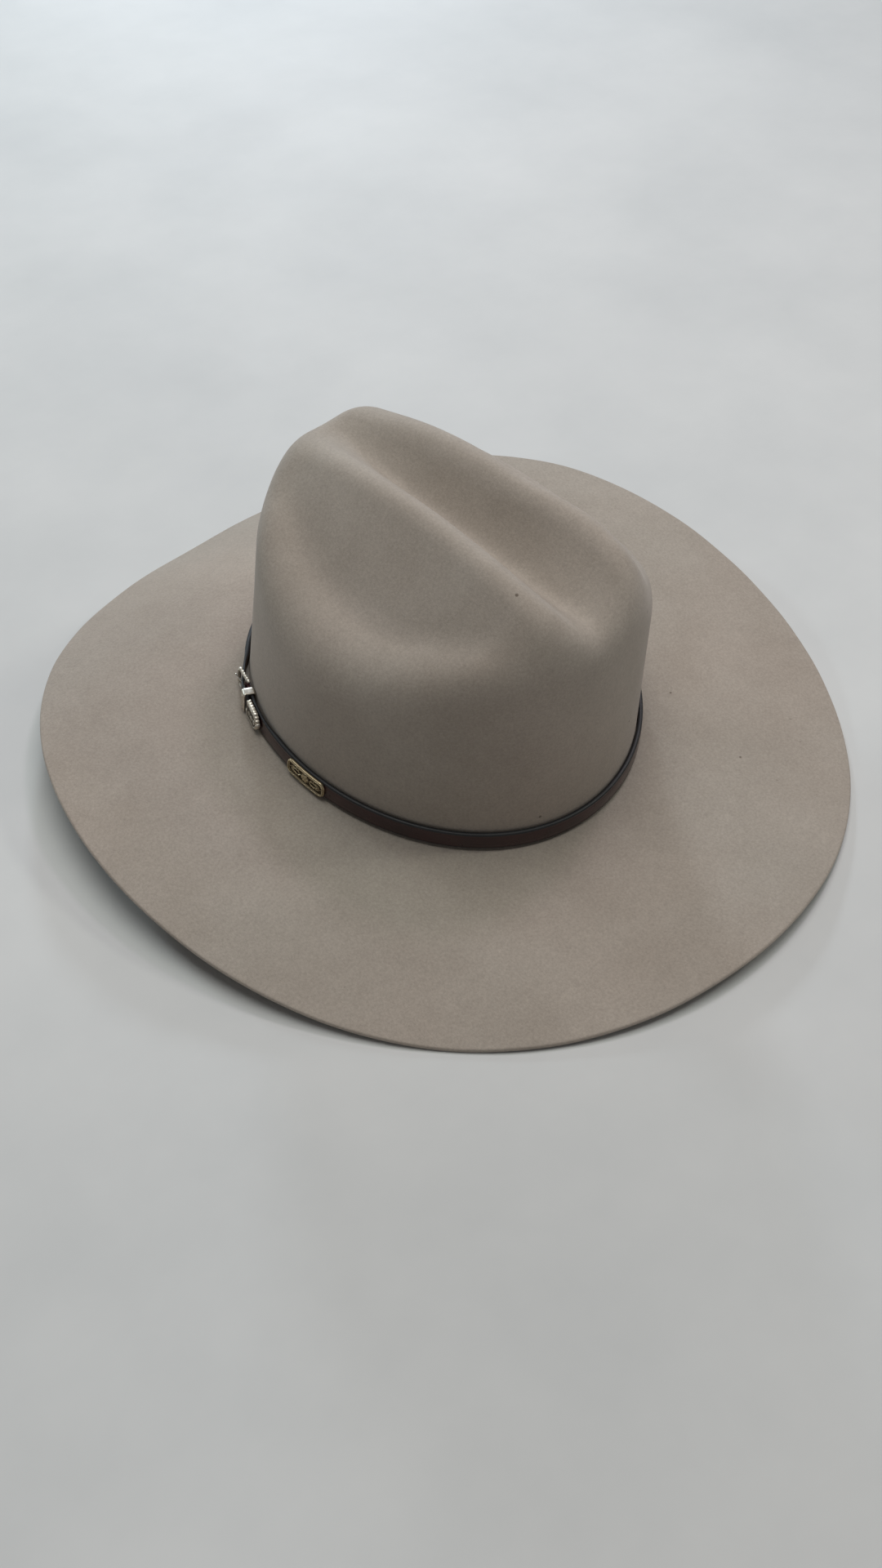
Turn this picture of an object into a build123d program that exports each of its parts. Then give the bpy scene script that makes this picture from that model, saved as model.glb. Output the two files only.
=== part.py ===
from build123d import *
import math
import os
import numpy as np

# Cattleman-crease fur-felt western hat with a buckled leather hatband.
# Hat frame used while modelling: -Y is the front of the hat, +X is the wearer's
# left, z = 0 is the plane through the crown's root (the brim break).
# At the end every piece is turned by REST_TILT about X and dropped so that the
# hat stands on a flat surface on its front brim edge and its two rear corners.

# ---------------------------------------------------------------- dimensions
A_BAND = 105.0        # half length of the oval outside the hatband
B_BAND = 93.38        # half width of the same oval
EGG = 0.0316          # how much narrower the front half is than the back half
BAND_OFF = 2.5        # the felt wall lies this far inside that oval
ROOT_SADDLE = -3.73   # height of the brim break: this times cos(2*angle)
BRIM_W = 100.59       # brim width, measured along the felt
BRIM_POW = 1.80       # how late the brim bends up or down towards its edge
EDGE_Z = (-9.008, -12.365, -6.606, -7.017, 0.769, -0.723, 0.411)   # edge height, cosine series
EDGE_R = (-4.873, -0.043, -2.624, -1.388)                           # edge reach, cosine series
BRIM_T = 2.6          # felt thickness, brim
CROWN_T = 2.2         # felt thickness, crown
ROOT_R = 2.0          # inside radius of the brim break
TAPER = (0.0392, 0.0894, 0.0574)   # crown taper per mm of height: side, front, back

STRAP_H = 9.4         # hatband strap
STRAP_T = 2.5
STRAP_MID = 6.3       # strap centre line above the brim break
GAP = 0.35            # running gap between the strap and the felt

SWEAT_H = 58.0        # sweatband leather height
SWEAT_T = 1.1
LINER_T = 0.4

FRONT, BACK = 0.0, 180.0
NPT = 48              # points round each closed section

# ---------------------------------------------------------------- hat surface
def oval(th, off=0.0):
    """Point and outward normal on the hatband's oval, moved out by off."""
    s, c = np.sin(th), np.cos(th)
    x = B_BAND * s * (1 - EGG * c)
    y = -A_BAND * c
    dx = B_BAND * (c * (1 - EGG * c) + EGG * s * s)
    dy = A_BAND * s
    l = np.hypot(dx, dy)
    n = np.stack([dy / l, -dx / l], -1)
    return np.stack([x, y], -1) + n * np.asarray(off)[..., None] if np.ndim(off) else np.stack([x, y], -1) + n * off, n


def root_z(th):
    return ROOT_SADDLE * np.cos(2 * th)


def taper(th):
    c = np.cos(th)
    return TAPER[0] + (TAPER[1] - TAPER[0]) * np.maximum(c, 0) ** 2 + (TAPER[2] - TAPER[0]) * np.maximum(-c, 0) ** 2


def edge(th):
    """Upper brim edge: point (x, y, z)."""
    H, n = oval(th)
    zb = root_z(th)
    z = sum(EDGE_Z[k] * np.cos(k * th) for k in range(7))
    w = BRIM_W + sum(EDGE_R[k - 1] * np.cos(k * th) for k in range(1, 5))
    short = BRIM_POW ** 2 * (z - zb) ** 2 / (2 * BRIM_W * (2 * BRIM_POW - 1))
    E = H + n * (w - short)[..., None]
    return np.concatenate([E, z[..., None]], -1)


def brim_top(th, t):
    """Upper face of the brim, t = 0 at the crown wall and 1 at the edge."""
    H, n = oval(th, -BAND_OFF)
    E = edge(th)
    zb = root_z(th)
    xy = H + (E[..., :2] - H) * t
    z = zb + (E[..., 2] - zb) * t ** BRIM_POW
    return np.concatenate([xy, z[..., None]], -1)


def knots(table, y):
    """Smooth curve through (y, value) pairs (cubic Hermite, Catmull slopes)."""
    xs = np.array([a for a, _ in table], float)
    vs = np.array([b for _, b in table], float)
    m = np.gradient(vs, xs)
    y = np.clip(y, xs[0], xs[-1])
    i = np.clip(np.searchsorted(xs, y) - 1, 0, len(xs) - 2)
    h = xs[i + 1] - xs[i]
    t = (y - xs[i]) / h
    return ((2 * t ** 3 - 3 * t ** 2 + 1) * vs[i] + (t ** 3 - 2 * t ** 2 + t) * h * m[i]
            + (-2 * t ** 3 + 3 * t ** 2) * vs[i + 1] + (t ** 3 - t ** 2) * h * m[i + 1])


RIDGE_Z = [(-115, 102), (-100, 110), (-90, 114), (-76, 118.5), (-50, 125.5), (-10, 131.5), (30, 132.5), (60, 130), (80, 124.5), (95, 115.5), (115, 100)]
RIDGE_X = [(-115, 16), (-90, 19), (-50, 20.5), (0, 22), (60, 23.5), (85, 21.5), (100, 17), (115, 13)]
CREASE_Z = [(-115, 107), (-94, 112.5), (-76, 112.5), (-50, 110), (-15, 108.5), (25, 108), (60, 108.5), (80, 110), (94, 111.5), (115, 106)]
FACE = [(-115, 0.3), (-88, 0.4), (-78, 0.6), (-70, 0.8), (-60, 0.95), (-47, 1.06), (-21, 1.15), (10, 1.18), (45, 1.18), (60, 1.14), (68, 1.06), (76, 0.93), (86, 0.78), (95, 0.66), (115, 0.5)]
SHELF_Z = [(-115, 98), (-100, 101), (-85, 103.5), (-61, 103), (-47, 100.5), (-21, 97), (10, 96.5), (28, 98.7), (44, 103), (57, 106.7), (67, 110), (76, 110.5), (86, 108.5), (95, 105.5), (115, 100)]
ROUND_K = [(-115, 9), (-90, 9), (-60, 11), (-20, 17), (20, 19), (60, 20), (90, 16), (115, 15)]


def smooth01(q):
    q = np.clip(q, 0, 1)
    return q * q * (3 - 2 * q)


def smax(a, b, k):
    """Maximum of a and b, rounded over the width k."""
    h = np.maximum(k - np.abs(a - b), 0) / k
    return np.maximum(a, b) + h * h * k / 4


def crown_top(x, y, ridge=1.0, drop=0.0):
    """Height of the creased crown over (x, y). A rounded valley climbs to the two
    ridges; outside each ridge a steep face falls to a shelf, which makes the side
    dent. The wearer's right (x < 0) is pressed a little deeper than the left."""
    ax = np.abs(x)
    far = (x < 0) * 1.0
    zc = knots(CREASE_Z, y)
    xr = knots(RIDGE_X, y) + 6.0 * far * smooth01((y - 5) / 55.0)
    m = knots(FACE, y + far * (24.0 * smooth01(-(y + 30) / 40.0) - 14.0 * smooth01((y - 35) / 35.0))) + 0.3 * far * smooth01((y + 20) / 50.0)
    rise = np.maximum(knots(RIDGE_Z, y) - zc, 0.5) * ridge
    r0 = 5.0
    run = np.sqrt(xr * xr + r0 * r0) - r0
    w = 9.0
    apex = rise + w / 4 * (rise / run + m) * 1.05
    inner = zc + apex * (np.sqrt(ax * ax + r0 * r0) - r0) / run
    face = zc + apex - m * (ax - xr)
    shelf = knots(SHELF_Z, y) - 0.25 * (ax - 50) - 8.0 * far
    outer = smax(face, shelf, 4.0 * np.maximum(m - 0.25, 0.2) + 1.5)
    return -smax(-inner, -outer, w * (apex / run + m)) - drop


def crown_field(x, y, z, inset=0.0, ridge=1.0, drop=0.0, round_k=0.0):
    """Below 0 inside the crown, above 0 outside."""
    a, b = A_BAND - BAND_OFF, B_BAND - BAND_OFF
    q = b * (1 + EGG * y / a)
    g = np.sqrt((x / q) ** 2 + (y / a) ** 2) + 1e-9
    gx, gy = x / q ** 2 / g, y / a ** 2 / g
    grad = np.sqrt(gx ** 2 + gy ** 2) + 1e-9
    th = np.arctan2(x / q, -y / a)
    wall = (g - 1) / grad + taper(th) * np.maximum(z, 0) + inset
    top = (z - crown_top(x, y, ridge, drop)) * 0.8
    return smax(wall, top, knots(ROUND_K, y) + round_k)


Z_SPLIT = 62.0


def crown_ring(u, th, **kw):
    """One closed section of the crown. u from 0 to 1 climbs the wall at level
    height, u from 1 to 2 swings over the top to the middle."""
    H, _ = oval(th, -BAND_OFF)
    H = H / np.linalg.norm(H, axis=-1, keepdims=True)
    e = max(u - 1, 0) * math.pi / 2
    z0 = np.zeros_like(th) + min(u, 1) * Z_SPLIT
    d = np.stack([H[..., 0] * math.cos(e), H[..., 1] * math.cos(e), math.sin(e) + 0 * th], -1)
    lo, hi = np.zeros_like(th) + 5.0, np.zeros_like(th) + 170.0
    for _ in range(44):
        m = (lo + hi) / 2
        f = crown_field(d[..., 0] * m, d[..., 1] * m, z0 + d[..., 2] * m, **kw)
        lo, hi = np.where(f < 0, m, lo), np.where(f < 0, hi, m)
    m = (lo + hi) / 2
    return np.stack([d[..., 0] * m, d[..., 1] * m, z0 + d[..., 2] * m], -1)


def crown_normal(P, **kw):
    h = 0.6
    f = lambda a, b, c: crown_field(P[..., 0] + a, P[..., 1] + b, P[..., 2] + c, **kw)
    n = np.stack([f(h, 0, 0) - f(-h, 0, 0), f(0, h, 0) - f(0, -h, 0), f(0, 0, h) - f(0, 0, -h)], -1)
    return n / np.linalg.norm(n, axis=-1, keepdims=True)


TH = np.arange(NPT) * 2 * np.pi / NPT
U_TOP = [1.0, 1.1, 1.19, 1.27, 1.34, 1.41, 1.48, 1.55, 1.62, 1.69, 1.76, 1.83, 1.9, 1.96]


def wall_ring(z, off):
    """Closed ring on the crown wall, z above the brim break, off outwards."""
    H, n = oval(TH, -BAND_OFF)
    P = H + n * (off - taper(TH) * max(z, 0.0))[:, None]
    return np.concatenate([P, (root_z(TH) + z)[:, None]], -1)


# ---------------------------------------------------------------- solid helpers
def ring_wire(P):
    pts = [Vector(*map(float, p)) for p in P]
    return Wire([Edge.make_spline(pts, periodic=True)])


def ruled_shell_solid(rings):
    """Solid bounded by ruled faces through rings that close on themselves."""
    wires = [ring_wire(r) for r in rings]
    faces = []
    for a, b in zip(wires, wires[1:] + wires[:1]):
        faces += list(Shell.make_loft([a, b], ruled=True).faces())
    return solid_of(faces)


def solid_of(faces):
    sewn = Face.sew_faces(faces)
    shell = Shell(sewn[0])
    s = Solid(shell)
    if s.volume < 0:
        s = Solid(Shell([-f for f in shell.faces()]))
    return s


def strip_solid(sections):
    """Solid lofted through four-cornered sections, ruled between them."""
    wires = [Wire.make_polygon([Vector(*map(float, p)) for p in q], close=True) for q in sections]
    return Solid.make_loft(wires, ruled=True)


def cap_solid(rings, top_first, top_last):
    """Solid through closed rings, closed by a point at each end."""
    objs = [Vertex(*map(float, top_first))] + [ring_wire(r) for r in rings] + [Vertex(*map(float, top_last))]
    return Solid.make_loft(objs, ruled=True)


# ---------------------------------------------------------------- felt body
def felt_body():
    outer, inner = [], []
    for u in reversed(U_TOP):
        P = crown_ring(u, TH)
        outer.append(P)
        inner.append(P - crown_normal(P) * CROWN_T)
    for u in (0.72, 0.4, 0.22):
        outer.append(wall_ring(u * Z_SPLIT, 0.0))
        inner.append(wall_ring(u * Z_SPLIT, -CROWN_T))
    for deg in (0, 30, 60, 90):
        f = math.radians(deg)
        outer.append(wall_ring(ROOT_R * (1 - math.sin(f)), ROOT_R * (1 - math.cos(f))))
    for deg in (0, 30, 60, 90):
        f = math.radians(deg)
        t = CROWN_T + (BRIM_T - CROWN_T) * deg / 90
        z = ROOT_R - (ROOT_R + t) * math.sin(f)
        H, n = oval(TH, -BAND_OFF)
        P = H + n * (ROOT_R - (ROOT_R + t) * math.cos(f))
        inner.append(np.concatenate([P, (root_z(TH) + z)[:, None]], -1))
    for t in (0.16, 0.34, 0.5, 0.66, 0.82, 0.985):
        P, N = brim_point(TH, t)
        outer.append(P)
        inner.append(P - N * BRIM_T)
    P, N = brim_point(TH, 1.0)
    Q, _ = brim_point(TH, 1.004)
    mid = [P - N * 0.45, Q - N * BRIM_T / 2, P - N * (BRIM_T - 0.45)]
    rings = outer + mid + inner[::-1]
    zt = float(crown_top(0.0, 0.0))
    return cap_solid(rings, (0, 0, zt), (0, 0, zt - CROWN_T))


def brim_point(th, t):
    """Upper face of the brim and its normal."""
    e = 1e-3
    P = brim_top(th, t)
    du = (brim_top(th, t + e) - brim_top(th, t - e))
    dv = (brim_top(th + e, t) - brim_top(th - e, t))
    N = np.cross(du, dv)
    N /= np.linalg.norm(N, axis=-1, keepdims=True)
    return P, N * np.sign(N[..., 2:3])


# ---------------------------------------------------------------- local frames on the band
def at(th, n, k):
    """Point n outside the felt wall and k above the brim break."""
    th = np.asarray(th, float)
    H, nn = oval(th, -BAND_OFF)
    P = H + nn * (n - taper(th) * k)[..., None]
    return np.concatenate([P, (root_z(th) + k)[..., None]], -1)


def axes_at(th):
    d = 1e-3
    H, n = oval(np.array([th - d, th, th + d]), 0.0)
    T = H[2] - H[0]
    T = np.array([T[0], T[1], 0]) / np.hypot(*T)
    return T, np.array([n[1][0], n[1][1], 0.0])


def curve_radius(th):
    d = 0.02
    T0, _ = axes_at(th - d)
    T1, _ = axes_at(th + d)
    H, _ = oval(np.array([th - d, th + d]), 0.0)
    return float(np.hypot(*(H[1] - H[0])) / math.acos(float(np.clip(T0 @ T1, -1, 1))))


# ---------------------------------------------------------------- lining and sweatband
LINER = dict(inset=2.6, ridge=0.8, drop=5.0)
LINER_IN = dict(inset=2.6 + LINER_T, ridge=0.8, drop=5.0 + LINER_T + 0.1)
SEAM_U = 1.23         # where the liner's side meets its oval tip
LINER_LOW = 12.0      # lower edge of the liner above the brim break


def liner_side():
    us = [0.8, 0.95, 1.06, 1.13, SEAM_U - 0.012]
    out = [wall_ring(LINER_LOW, -2.6), wall_ring(30, -2.6)] + [crown_ring(u, TH, **LINER) for u in us]
    inn = [wall_ring(LINER_LOW, -2.6 - LINER_T), wall_ring(30, -2.6 - LINER_T)] + [crown_ring(u, TH, **LINER_IN) for u in us]
    return ruled_shell_solid(out + inn[::-1])


def top_sheet(us, kw_out, kw_in):
    """A closed sheet over the middle of the crown, between two nested surfaces."""
    out = [crown_ring(u, TH, **kw_out) for u in reversed(us)]
    inn = [crown_ring(u, TH, **kw_in) for u in us]
    zo = float(crown_top(0.0, 0.0, kw_out["ridge"], kw_out["drop"]))
    zi = float(crown_top(0.0, 0.0, kw_in["ridge"], kw_in["drop"]))
    return cap_solid(out + inn, (0, 0, zo), (0, 0, zi))


def liner_tip():
    return top_sheet([SEAM_U + 0.012, 1.29, 1.35, 1.42, 1.5, 1.58, 1.66, 1.74, 1.82, 1.9, 1.96], LINER, LINER_IN)


SHIELD = dict(inset=3.6, ridge=0.8, drop=6.3)
SHIELD_IN = dict(inset=3.9, ridge=0.8, drop=6.7)


def liner_shield():
    return top_sheet([1.5, 1.58, 1.66, 1.74, 1.82, 1.9, 1.96], SHIELD, SHIELD_IN)


def torus_along(C, D1, D2, r, m=8):
    """Closed tube of radius r round the closed line C; D1 and D2 span its section."""
    rings = []
    for j in range(m):
        a = 2 * math.pi * j / m
        rings.append(C + D1 * (r * math.cos(a)) + D2 * (r * math.sin(a)))
    return ruled_shell_solid(rings)


def liner_piping():
    C = crown_ring(SEAM_U, TH, **LINER_IN)
    N = crown_normal(C, **LINER_IN)
    T = np.roll(C, -1, 0) - np.roll(C, 1, 0)
    T /= np.linalg.norm(T, axis=1, keepdims=True)
    S = np.cross(T, N)
    return torus_along(C - N * 0.95, N, S, 0.8)


def band_normals():
    H, n = oval(TH)
    return np.concatenate([n, np.zeros((NPT, 1))], -1), np.tile([0.0, 0.0, 1.0], (NPT, 1))


REED_OFF, REED_Z, REED_R, TAPE_R = -4.55, -2.6, 0.8, 1.25
SWEAT_OFF = -4.0


def sweatband():
    lo, hi = -1.1, -1.1 + SWEAT_H
    a, b = SWEAT_OFF, SWEAT_OFF - SWEAT_T
    return ruled_shell_solid([wall_ring(lo, a), wall_ring(hi / 2, a), wall_ring(hi, a), wall_ring(hi, b), wall_ring(hi / 2, b), wall_ring(lo, b)])


def sweatband_reed():
    N, Z = band_normals()
    return torus_along(wall_ring(REED_Z, REED_OFF), N, Z, REED_R)


def reed_tape():
    N, Z = band_normals()
    C = wall_ring(REED_Z, REED_OFF)
    outer = torus_along(C, N, Z, TAPE_R)
    inner = torus_along(C, N, Z, REED_R + 0.1)
    return outer - inner


def sweatband_stitching(count=96):
    out = []
    for i in range(count):
        th = 2 * math.pi * (i + 0.5) / count
        if abs(math.degrees(th) - BACK) < 7:
            continue
        T, N = axes_at(th)
        p = at(th, SWEAT_OFF - SWEAT_T - 0.36, 1.6)
        plane = Plane(origin=tuple(p - T * 1.4), z_dir=tuple(T))
        out.append(Solid.make_cylinder(0.22, 2.8, plane))
    return out


def sector(th0, th1, n0, n1, k0, k1, steps=8):
    secs = []
    for th in np.linspace(th0, th1, steps + 1):
        secs.append([at(th, n0, k0), at(th, n1, k0), at(th, n1, k1), at(th, n0, k1)])
    return strip_solid(secs)


def sweatband_splice():
    d = math.radians(4.6)
    return sector(math.pi - d, math.pi + d, SWEAT_OFF - SWEAT_T - 0.92, SWEAT_OFF - SWEAT_T - 0.12, 0.5, 50.0)


def sweatband_bow():
    y = float(at(math.pi, -7.7, 0)[1])
    z = float(root_z(math.pi)) + 6.0
    knot = fillet(Box(4.2, 2.4, 4.6).edges(), 0.7)
    left = Pos(6.4, 0, 0.2) * fillet(Box(9.4, 1.6, 6.0).edges(), 0.6)
    right = Pos(-6.4, 0, 0.2) * fillet(Box(9.4, 1.6, 6.0).edges(), 0.6)
    return (Pos(0, y, z) * (knot + left + right)).solid()


# ---------------------------------------------------------------- hatband
TH_RAIL = math.radians(51.0)      # far rail of the buckle frame
MM_PER_RAD = 99.6                 # arc length per radian of angle near the buckle


def th_at(s):
    """Angle at distance s behind the buckle's far rail."""
    return TH_RAIL + s / MM_PER_RAD


def strap_sections():
    secs = []

    def put(th, n0, n1, h):
        k0, k1 = STRAP_MID - h, STRAP_MID + h
        secs.append([at(th, n0, k0), at(th, n1, k0), at(th, n1, k1), at(th, n0, k1)])
    for s in (14.5, 18.0, 22.0, 26.0, 30.0, 34.0, 38.5):
        put(th_at(s), 1.4, 3.0, STRAP_H / 2)
    th0 = th_at(38.5)
    for q in (0.25, 0.5, 0.75, 1.0):
        w = smooth01(q)
        put(th0 + q * math.radians(8), 1.4 + (GAP - 1.4) * w, 3.0 + (GAP + STRAP_T - 3.0) * w, STRAP_H / 2)
    a, b = th0 + math.radians(8), 2 * math.pi + th_at(-14.0)
    m = 96
    for i in range(1, m + 1):
        put(a + (b - a) * i / m, GAP, GAP + STRAP_T, STRAP_H / 2)
    # the billet: narrower, thinner, rising over the bar and the chape
    for s, n0, n1, h in BILLET[1:]:
        put(2 * math.pi + th_at(s), n0, n1, h)
    return secs


BILLET_T = 1.4
BILLET = [(-14.0, GAP, GAP + STRAP_T, 4.7), (-11.0, 0.55, 2.75, 4.55), (-8.0, 1.1, 2.9, 4.2), (-5.0, 1.7, 3.2, 3.9),
          (-2.5, 2.1, 3.5, 3.9), (0.0, 2.4, 3.8, 3.9), (3.0, 2.85, 4.25, 3.9), (6.0, 3.35, 4.75, 3.9), (8.5, 3.8, 5.2, 3.9),
          (11.0, 4.2, 5.6, 3.9), (13.5, 4.0, 5.4, 3.9), (16.0, 3.6, 5.0, 3.9), (19.0, 3.6, 5.0, 3.9), (22.0, 3.9, 5.2, 3.9), (23.2, 4.0, 5.2, 3.9), (25.6, 4.0, 5.2, 3.9)]

BAR_S, BAR_N, BAR_R = 11.0, 2.3, 0.7
EYE_R = 1.5


def local_plane(s, n, k=STRAP_MID):
    """Plane at a point of the band: x along the strap (rearwards), z up, -y outwards."""
    return band_plane(th_at(s), n, k)


def band_plane(th, n, k=STRAP_MID):
    x = at(th + 1e-3, n, k) - at(th - 1e-3, n, k)
    x /= np.linalg.norm(x)
    z = at(th, n, k + 1) - at(th, n, k - 1)
    z -= x * (z @ x)
    z /= np.linalg.norm(z)
    return Plane(origin=tuple(map(float, at(th, n, k))), x_dir=tuple(map(float, x)), z_dir=tuple(map(float, z)))


def hatband_strap():
    strap = strip_solid(strap_sections())
    # slot in the billet for the tongue
    p = local_plane(7.5, 4.0)
    slot = p * Box(8.4, 6.0, 2.0)
    strap = strap - slot - tip_rivet_bore(0.42)
    for b in badge_holes():
        strap = strap - b
    return strap.solid()


def buckle_chape():
    p = local_plane(BAR_S, BAR_N)
    eye = Cylinder(EYE_R, 7.8)
    tab = Pos(1.75, 0, 0) * Box(2.9, 1.6, 7.8)
    body = eye + tab
    body -= Cylinder(BAR_R + 0.05, 9)
    body -= Pos(-0.2, 0, 0) * Box(4.2, 4.0, 2.3)
    return (p * body).solid()


FRAME_TILT = math.degrees(math.atan2(4.8 - BAR_N, 11.0))


def frame_plane():
    """At the bar's middle: x from the far rail towards the bar, z up, -y outwards,
    turned so that the frame climbs over the billet."""
    p = local_plane(BAR_S, BAR_N)
    return p * Rot(0, 0, FRAME_TILT)


def buckle_frame():
    ring = BuildPartRing()
    bores = Cylinder(BAR_R, 20)
    return (frame_plane() * (ring - bores)).solid()


def BuildPartRing():
    out = Pos(-4.9, 0, 0) * Rot(90, 0, 0) * extrude(RectangleRounded(13.2, 11.2, 2.6), 0.75, both=True)
    win = Pos(-5.0, 0, 0) * Rot(90, 0, 0) * extrude(RectangleRounded(10.6, 8.6, 1.4), 2.0, both=True)
    ring = out - win
    back = Pos(0.95, 0, 0) * Box(2.0, 4.0, 8.4)
    return ring - back


def buckle_bar():
    return (frame_plane() * Cylinder(BAR_R, 11.0)).solid()


def buckle_tongue():
    p = local_plane(BAR_S, BAR_N)
    a = math.degrees(math.atan2(6.35 - BAR_N, 11.0))
    ring = Cylinder(1.2, 1.7) - Cylinder(BAR_R + 0.05, 3)
    L = 11.9 / math.cos(math.radians(a))
    shank = Pos(-(L + 1.0) / 2, 0, 0) * Rot(0, 90, 0) * Cylinder(0.5, L - 1.0)
    body = (ring + shank) - Cylinder(BAR_R + 0.05, 3)
    return (p * Rot(0, 0, a) * body).solid()


KEEP_S, KEEP_W = 18.4, 4.6


def keeper_loop():
    p = local_plane(KEEP_S, 0.0)
    n0, n1 = 0.35, 6.5
    outer = Pos(0, -(n0 + n1) / 2, 0) * Rot(0, 90, 0) * extrude(RectangleRounded(11.6, n1 - n0, 1.2), KEEP_W / 2, both=True)
    w0, w1 = 1.05, 5.55
    inner = Pos(0, -(w0 + w1) / 2, 0) * Rot(0, 90, 0) * extrude(RectangleRounded(10.0, w1 - w0, 0.35), KEEP_W, both=True)
    return (p * (outer - inner)).solid()


TIP_S0, TIP_S1 = 23.2, 37.0


def tip_plane():
    return local_plane((TIP_S0 + TIP_S1) / 2, 0.0)


def strap_tip():
    p = tip_plane()
    L = TIP_S1 - TIP_S0
    n0, n1 = 3.35, 5.85
    prof = Rot(90, 0, 0) * extrude(tip_outline(L, 9.2), (n1 - n0) / 2, both=True)
    body = Pos(0, -(n0 + n1) / 2, 0) * prof
    body = fillet(body.edges().filter_by(lambda e: e.center().Y < -(n1 - 0.05)), 0.45)
    return (p * (body - tip_pocket()) - tip_rivet_bore(0.42)).solid()


RIVET_S = 24.6


def tip_rivet_bore(r):
    return local_plane(RIVET_S, 4.6) * Rot(90, 0, 0) * Cylinder(r, 5)


def strap_tip_rivet():
    """Domed pin that holds the metal tip on the leather."""
    p = local_plane(RIVET_S, 4.6)
    pin = Pos(0, -0.18, 0) * Rot(90, 0, 0) * Cylinder(0.4, 2.76)
    head = Pos(0, -1.7, 0) * Rot(90, 0, 0) * Cylinder(0.85, 0.36)
    head = fillet(head.edges().filter_by(lambda e: e.center().Y < -1.85), 0.2)
    return (p * (pin + head)).solid()


def tip_pocket():
    L = TIP_S1 - TIP_S0
    return Pos(-L / 2 + 1.0, -4.435, 0) * Box(4.4, 1.63, 8.1)


def tip_outline(L, h):
    """Flat at the mouth, a shallow pointed arch at the end."""
    x0, x1 = -L / 2, L / 2
    return make_face(Wire([
        Edge.make_line((x0, -h / 2), (x1 - 4.2, -h / 2)),
        Edge.make_three_point_arc((x1 - 4.2, -h / 2), (x1 - 1.2, -h / 4), (x1, 0)),
        Edge.make_three_point_arc((x1, 0), (x1 - 1.2, h / 4), (x1 - 4.2, h / 2)),
        Edge.make_line((x1 - 4.2, h / 2), (x0, h / 2)),
        Edge.make_line((x0, h / 2), (x0, -h / 2))]))


TH_BADGE = math.radians(93.5)
BADGE_L, BADGE_H, BADGE_T = 25.0, 9.0, 1.5


def badge_plane(n):
    return band_plane(TH_BADGE, n)


def badge_plaque():
    R = curve_radius(TH_BADGE)
    n = GAP + STRAP_T
    shell = Cylinder(R + n + BADGE_T + 0.05, 30) - Cylinder(R + n + 0.05, 32)
    shell = Pos(0, R + n, 0) * shell
    blank = Rot(90, 0, 0) * extrude(RectangleRounded(BADGE_L, BADGE_H, 3.2), 6, both=True)
    return (badge_plane(n) * (shell & blank)).solid()


def badge_holes():
    p = badge_plane(GAP + STRAP_T)
    return [p * Pos(x, 1.0, 0) * Rot(90, 0, 0) * Cylinder(0.6, 8) for x in (-7.0, 7.0)]


def badge_prongs():
    p = badge_plane(GAP + STRAP_T)
    R = curve_radius(TH_BADGE)
    out = []
    for x in (-7.0, 7.0):
        sag = R + 2.9 - math.sqrt((R + 2.9) ** 2 - x * x)
        out.append((p * Pos(x, 1.2 + sag / 2, 0) * Rot(90, 0, 0) * Cylinder(0.58, 2.2)).solid())
    return out


# ---------------------------------------------------------------- rest pose and output
def rest_frame():
    """Tilt about X that lets the front edge and the two rear corners of the brim
    touch the same flat surface, and the shift that puts the origin under the
    middle of the hat."""
    th = np.radians(np.arange(0, 360, 1.0))
    P, N = brim_point(th, 1.0)
    low = P - N * BRIM_T
    ring = np.concatenate([P, P - N * BRIM_T / 2, low])
    lo, hi = math.radians(-15), math.radians(5)
    for _ in range(60):
        a = (lo + hi) / 2
        z = low[:, 1] * math.sin(a) + low[:, 2] * math.cos(a)
        front, rear = z[low[:, 1] < 0].min(), z[low[:, 1] > 0].min()
        if front > rear:
            lo = a
        else:
            hi = a
    y = ring[:, 1] * math.cos(a) - ring[:, 2] * math.sin(a)
    z = low[:, 1] * math.sin(a) + low[:, 2] * math.cos(a)
    return a, -(y.min() + y.max()) / 2, -z.min()


REST_TILT, SHIFT_Y, SHIFT_Z = rest_frame()
REST = Location((0, SHIFT_Y, SHIFT_Z)) * Location((0, 0, 0), (math.degrees(REST_TILT), 0, 0))


def to_row(P):
    """A point of the hat frame in the resting frame, mm."""
    c, s = math.cos(REST_TILT), math.sin(REST_TILT)
    x, y, z = P
    return (x, y * c - z * s + SHIFT_Y, y * s + z * c + SHIFT_Z)


NODES = {
    "felt_body": felt_body,
    "sweatband": sweatband,
    "sweatband_reed": sweatband_reed,
    "reed_tape": reed_tape,
    "sweatband_stitching": sweatband_stitching,
    "sweatband_splice": sweatband_splice,
    "sweatband_bow": sweatband_bow,
    "liner_side": liner_side,
    "liner_tip": liner_tip,
    "liner_piping": liner_piping,
    "liner_shield": liner_shield,
    "hatband_strap": hatband_strap,
    "buckle_chape": buckle_chape,
    "buckle_frame": buckle_frame,
    "buckle_bar": buckle_bar,
    "buckle_tongue": buckle_tongue,
    "keeper_loop": keeper_loop,
    "strap_tip": strap_tip,
    "strap_tip_rivet": strap_tip_rivet,
    "badge_plaque": badge_plaque,
    "badge_prongs": badge_prongs,
}


def build():
    made = {}
    for name, make in NODES.items():
        shape = make()
        if isinstance(shape, list):
            shape = Compound(shape)
        made[name] = REST * shape
    return made


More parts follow.
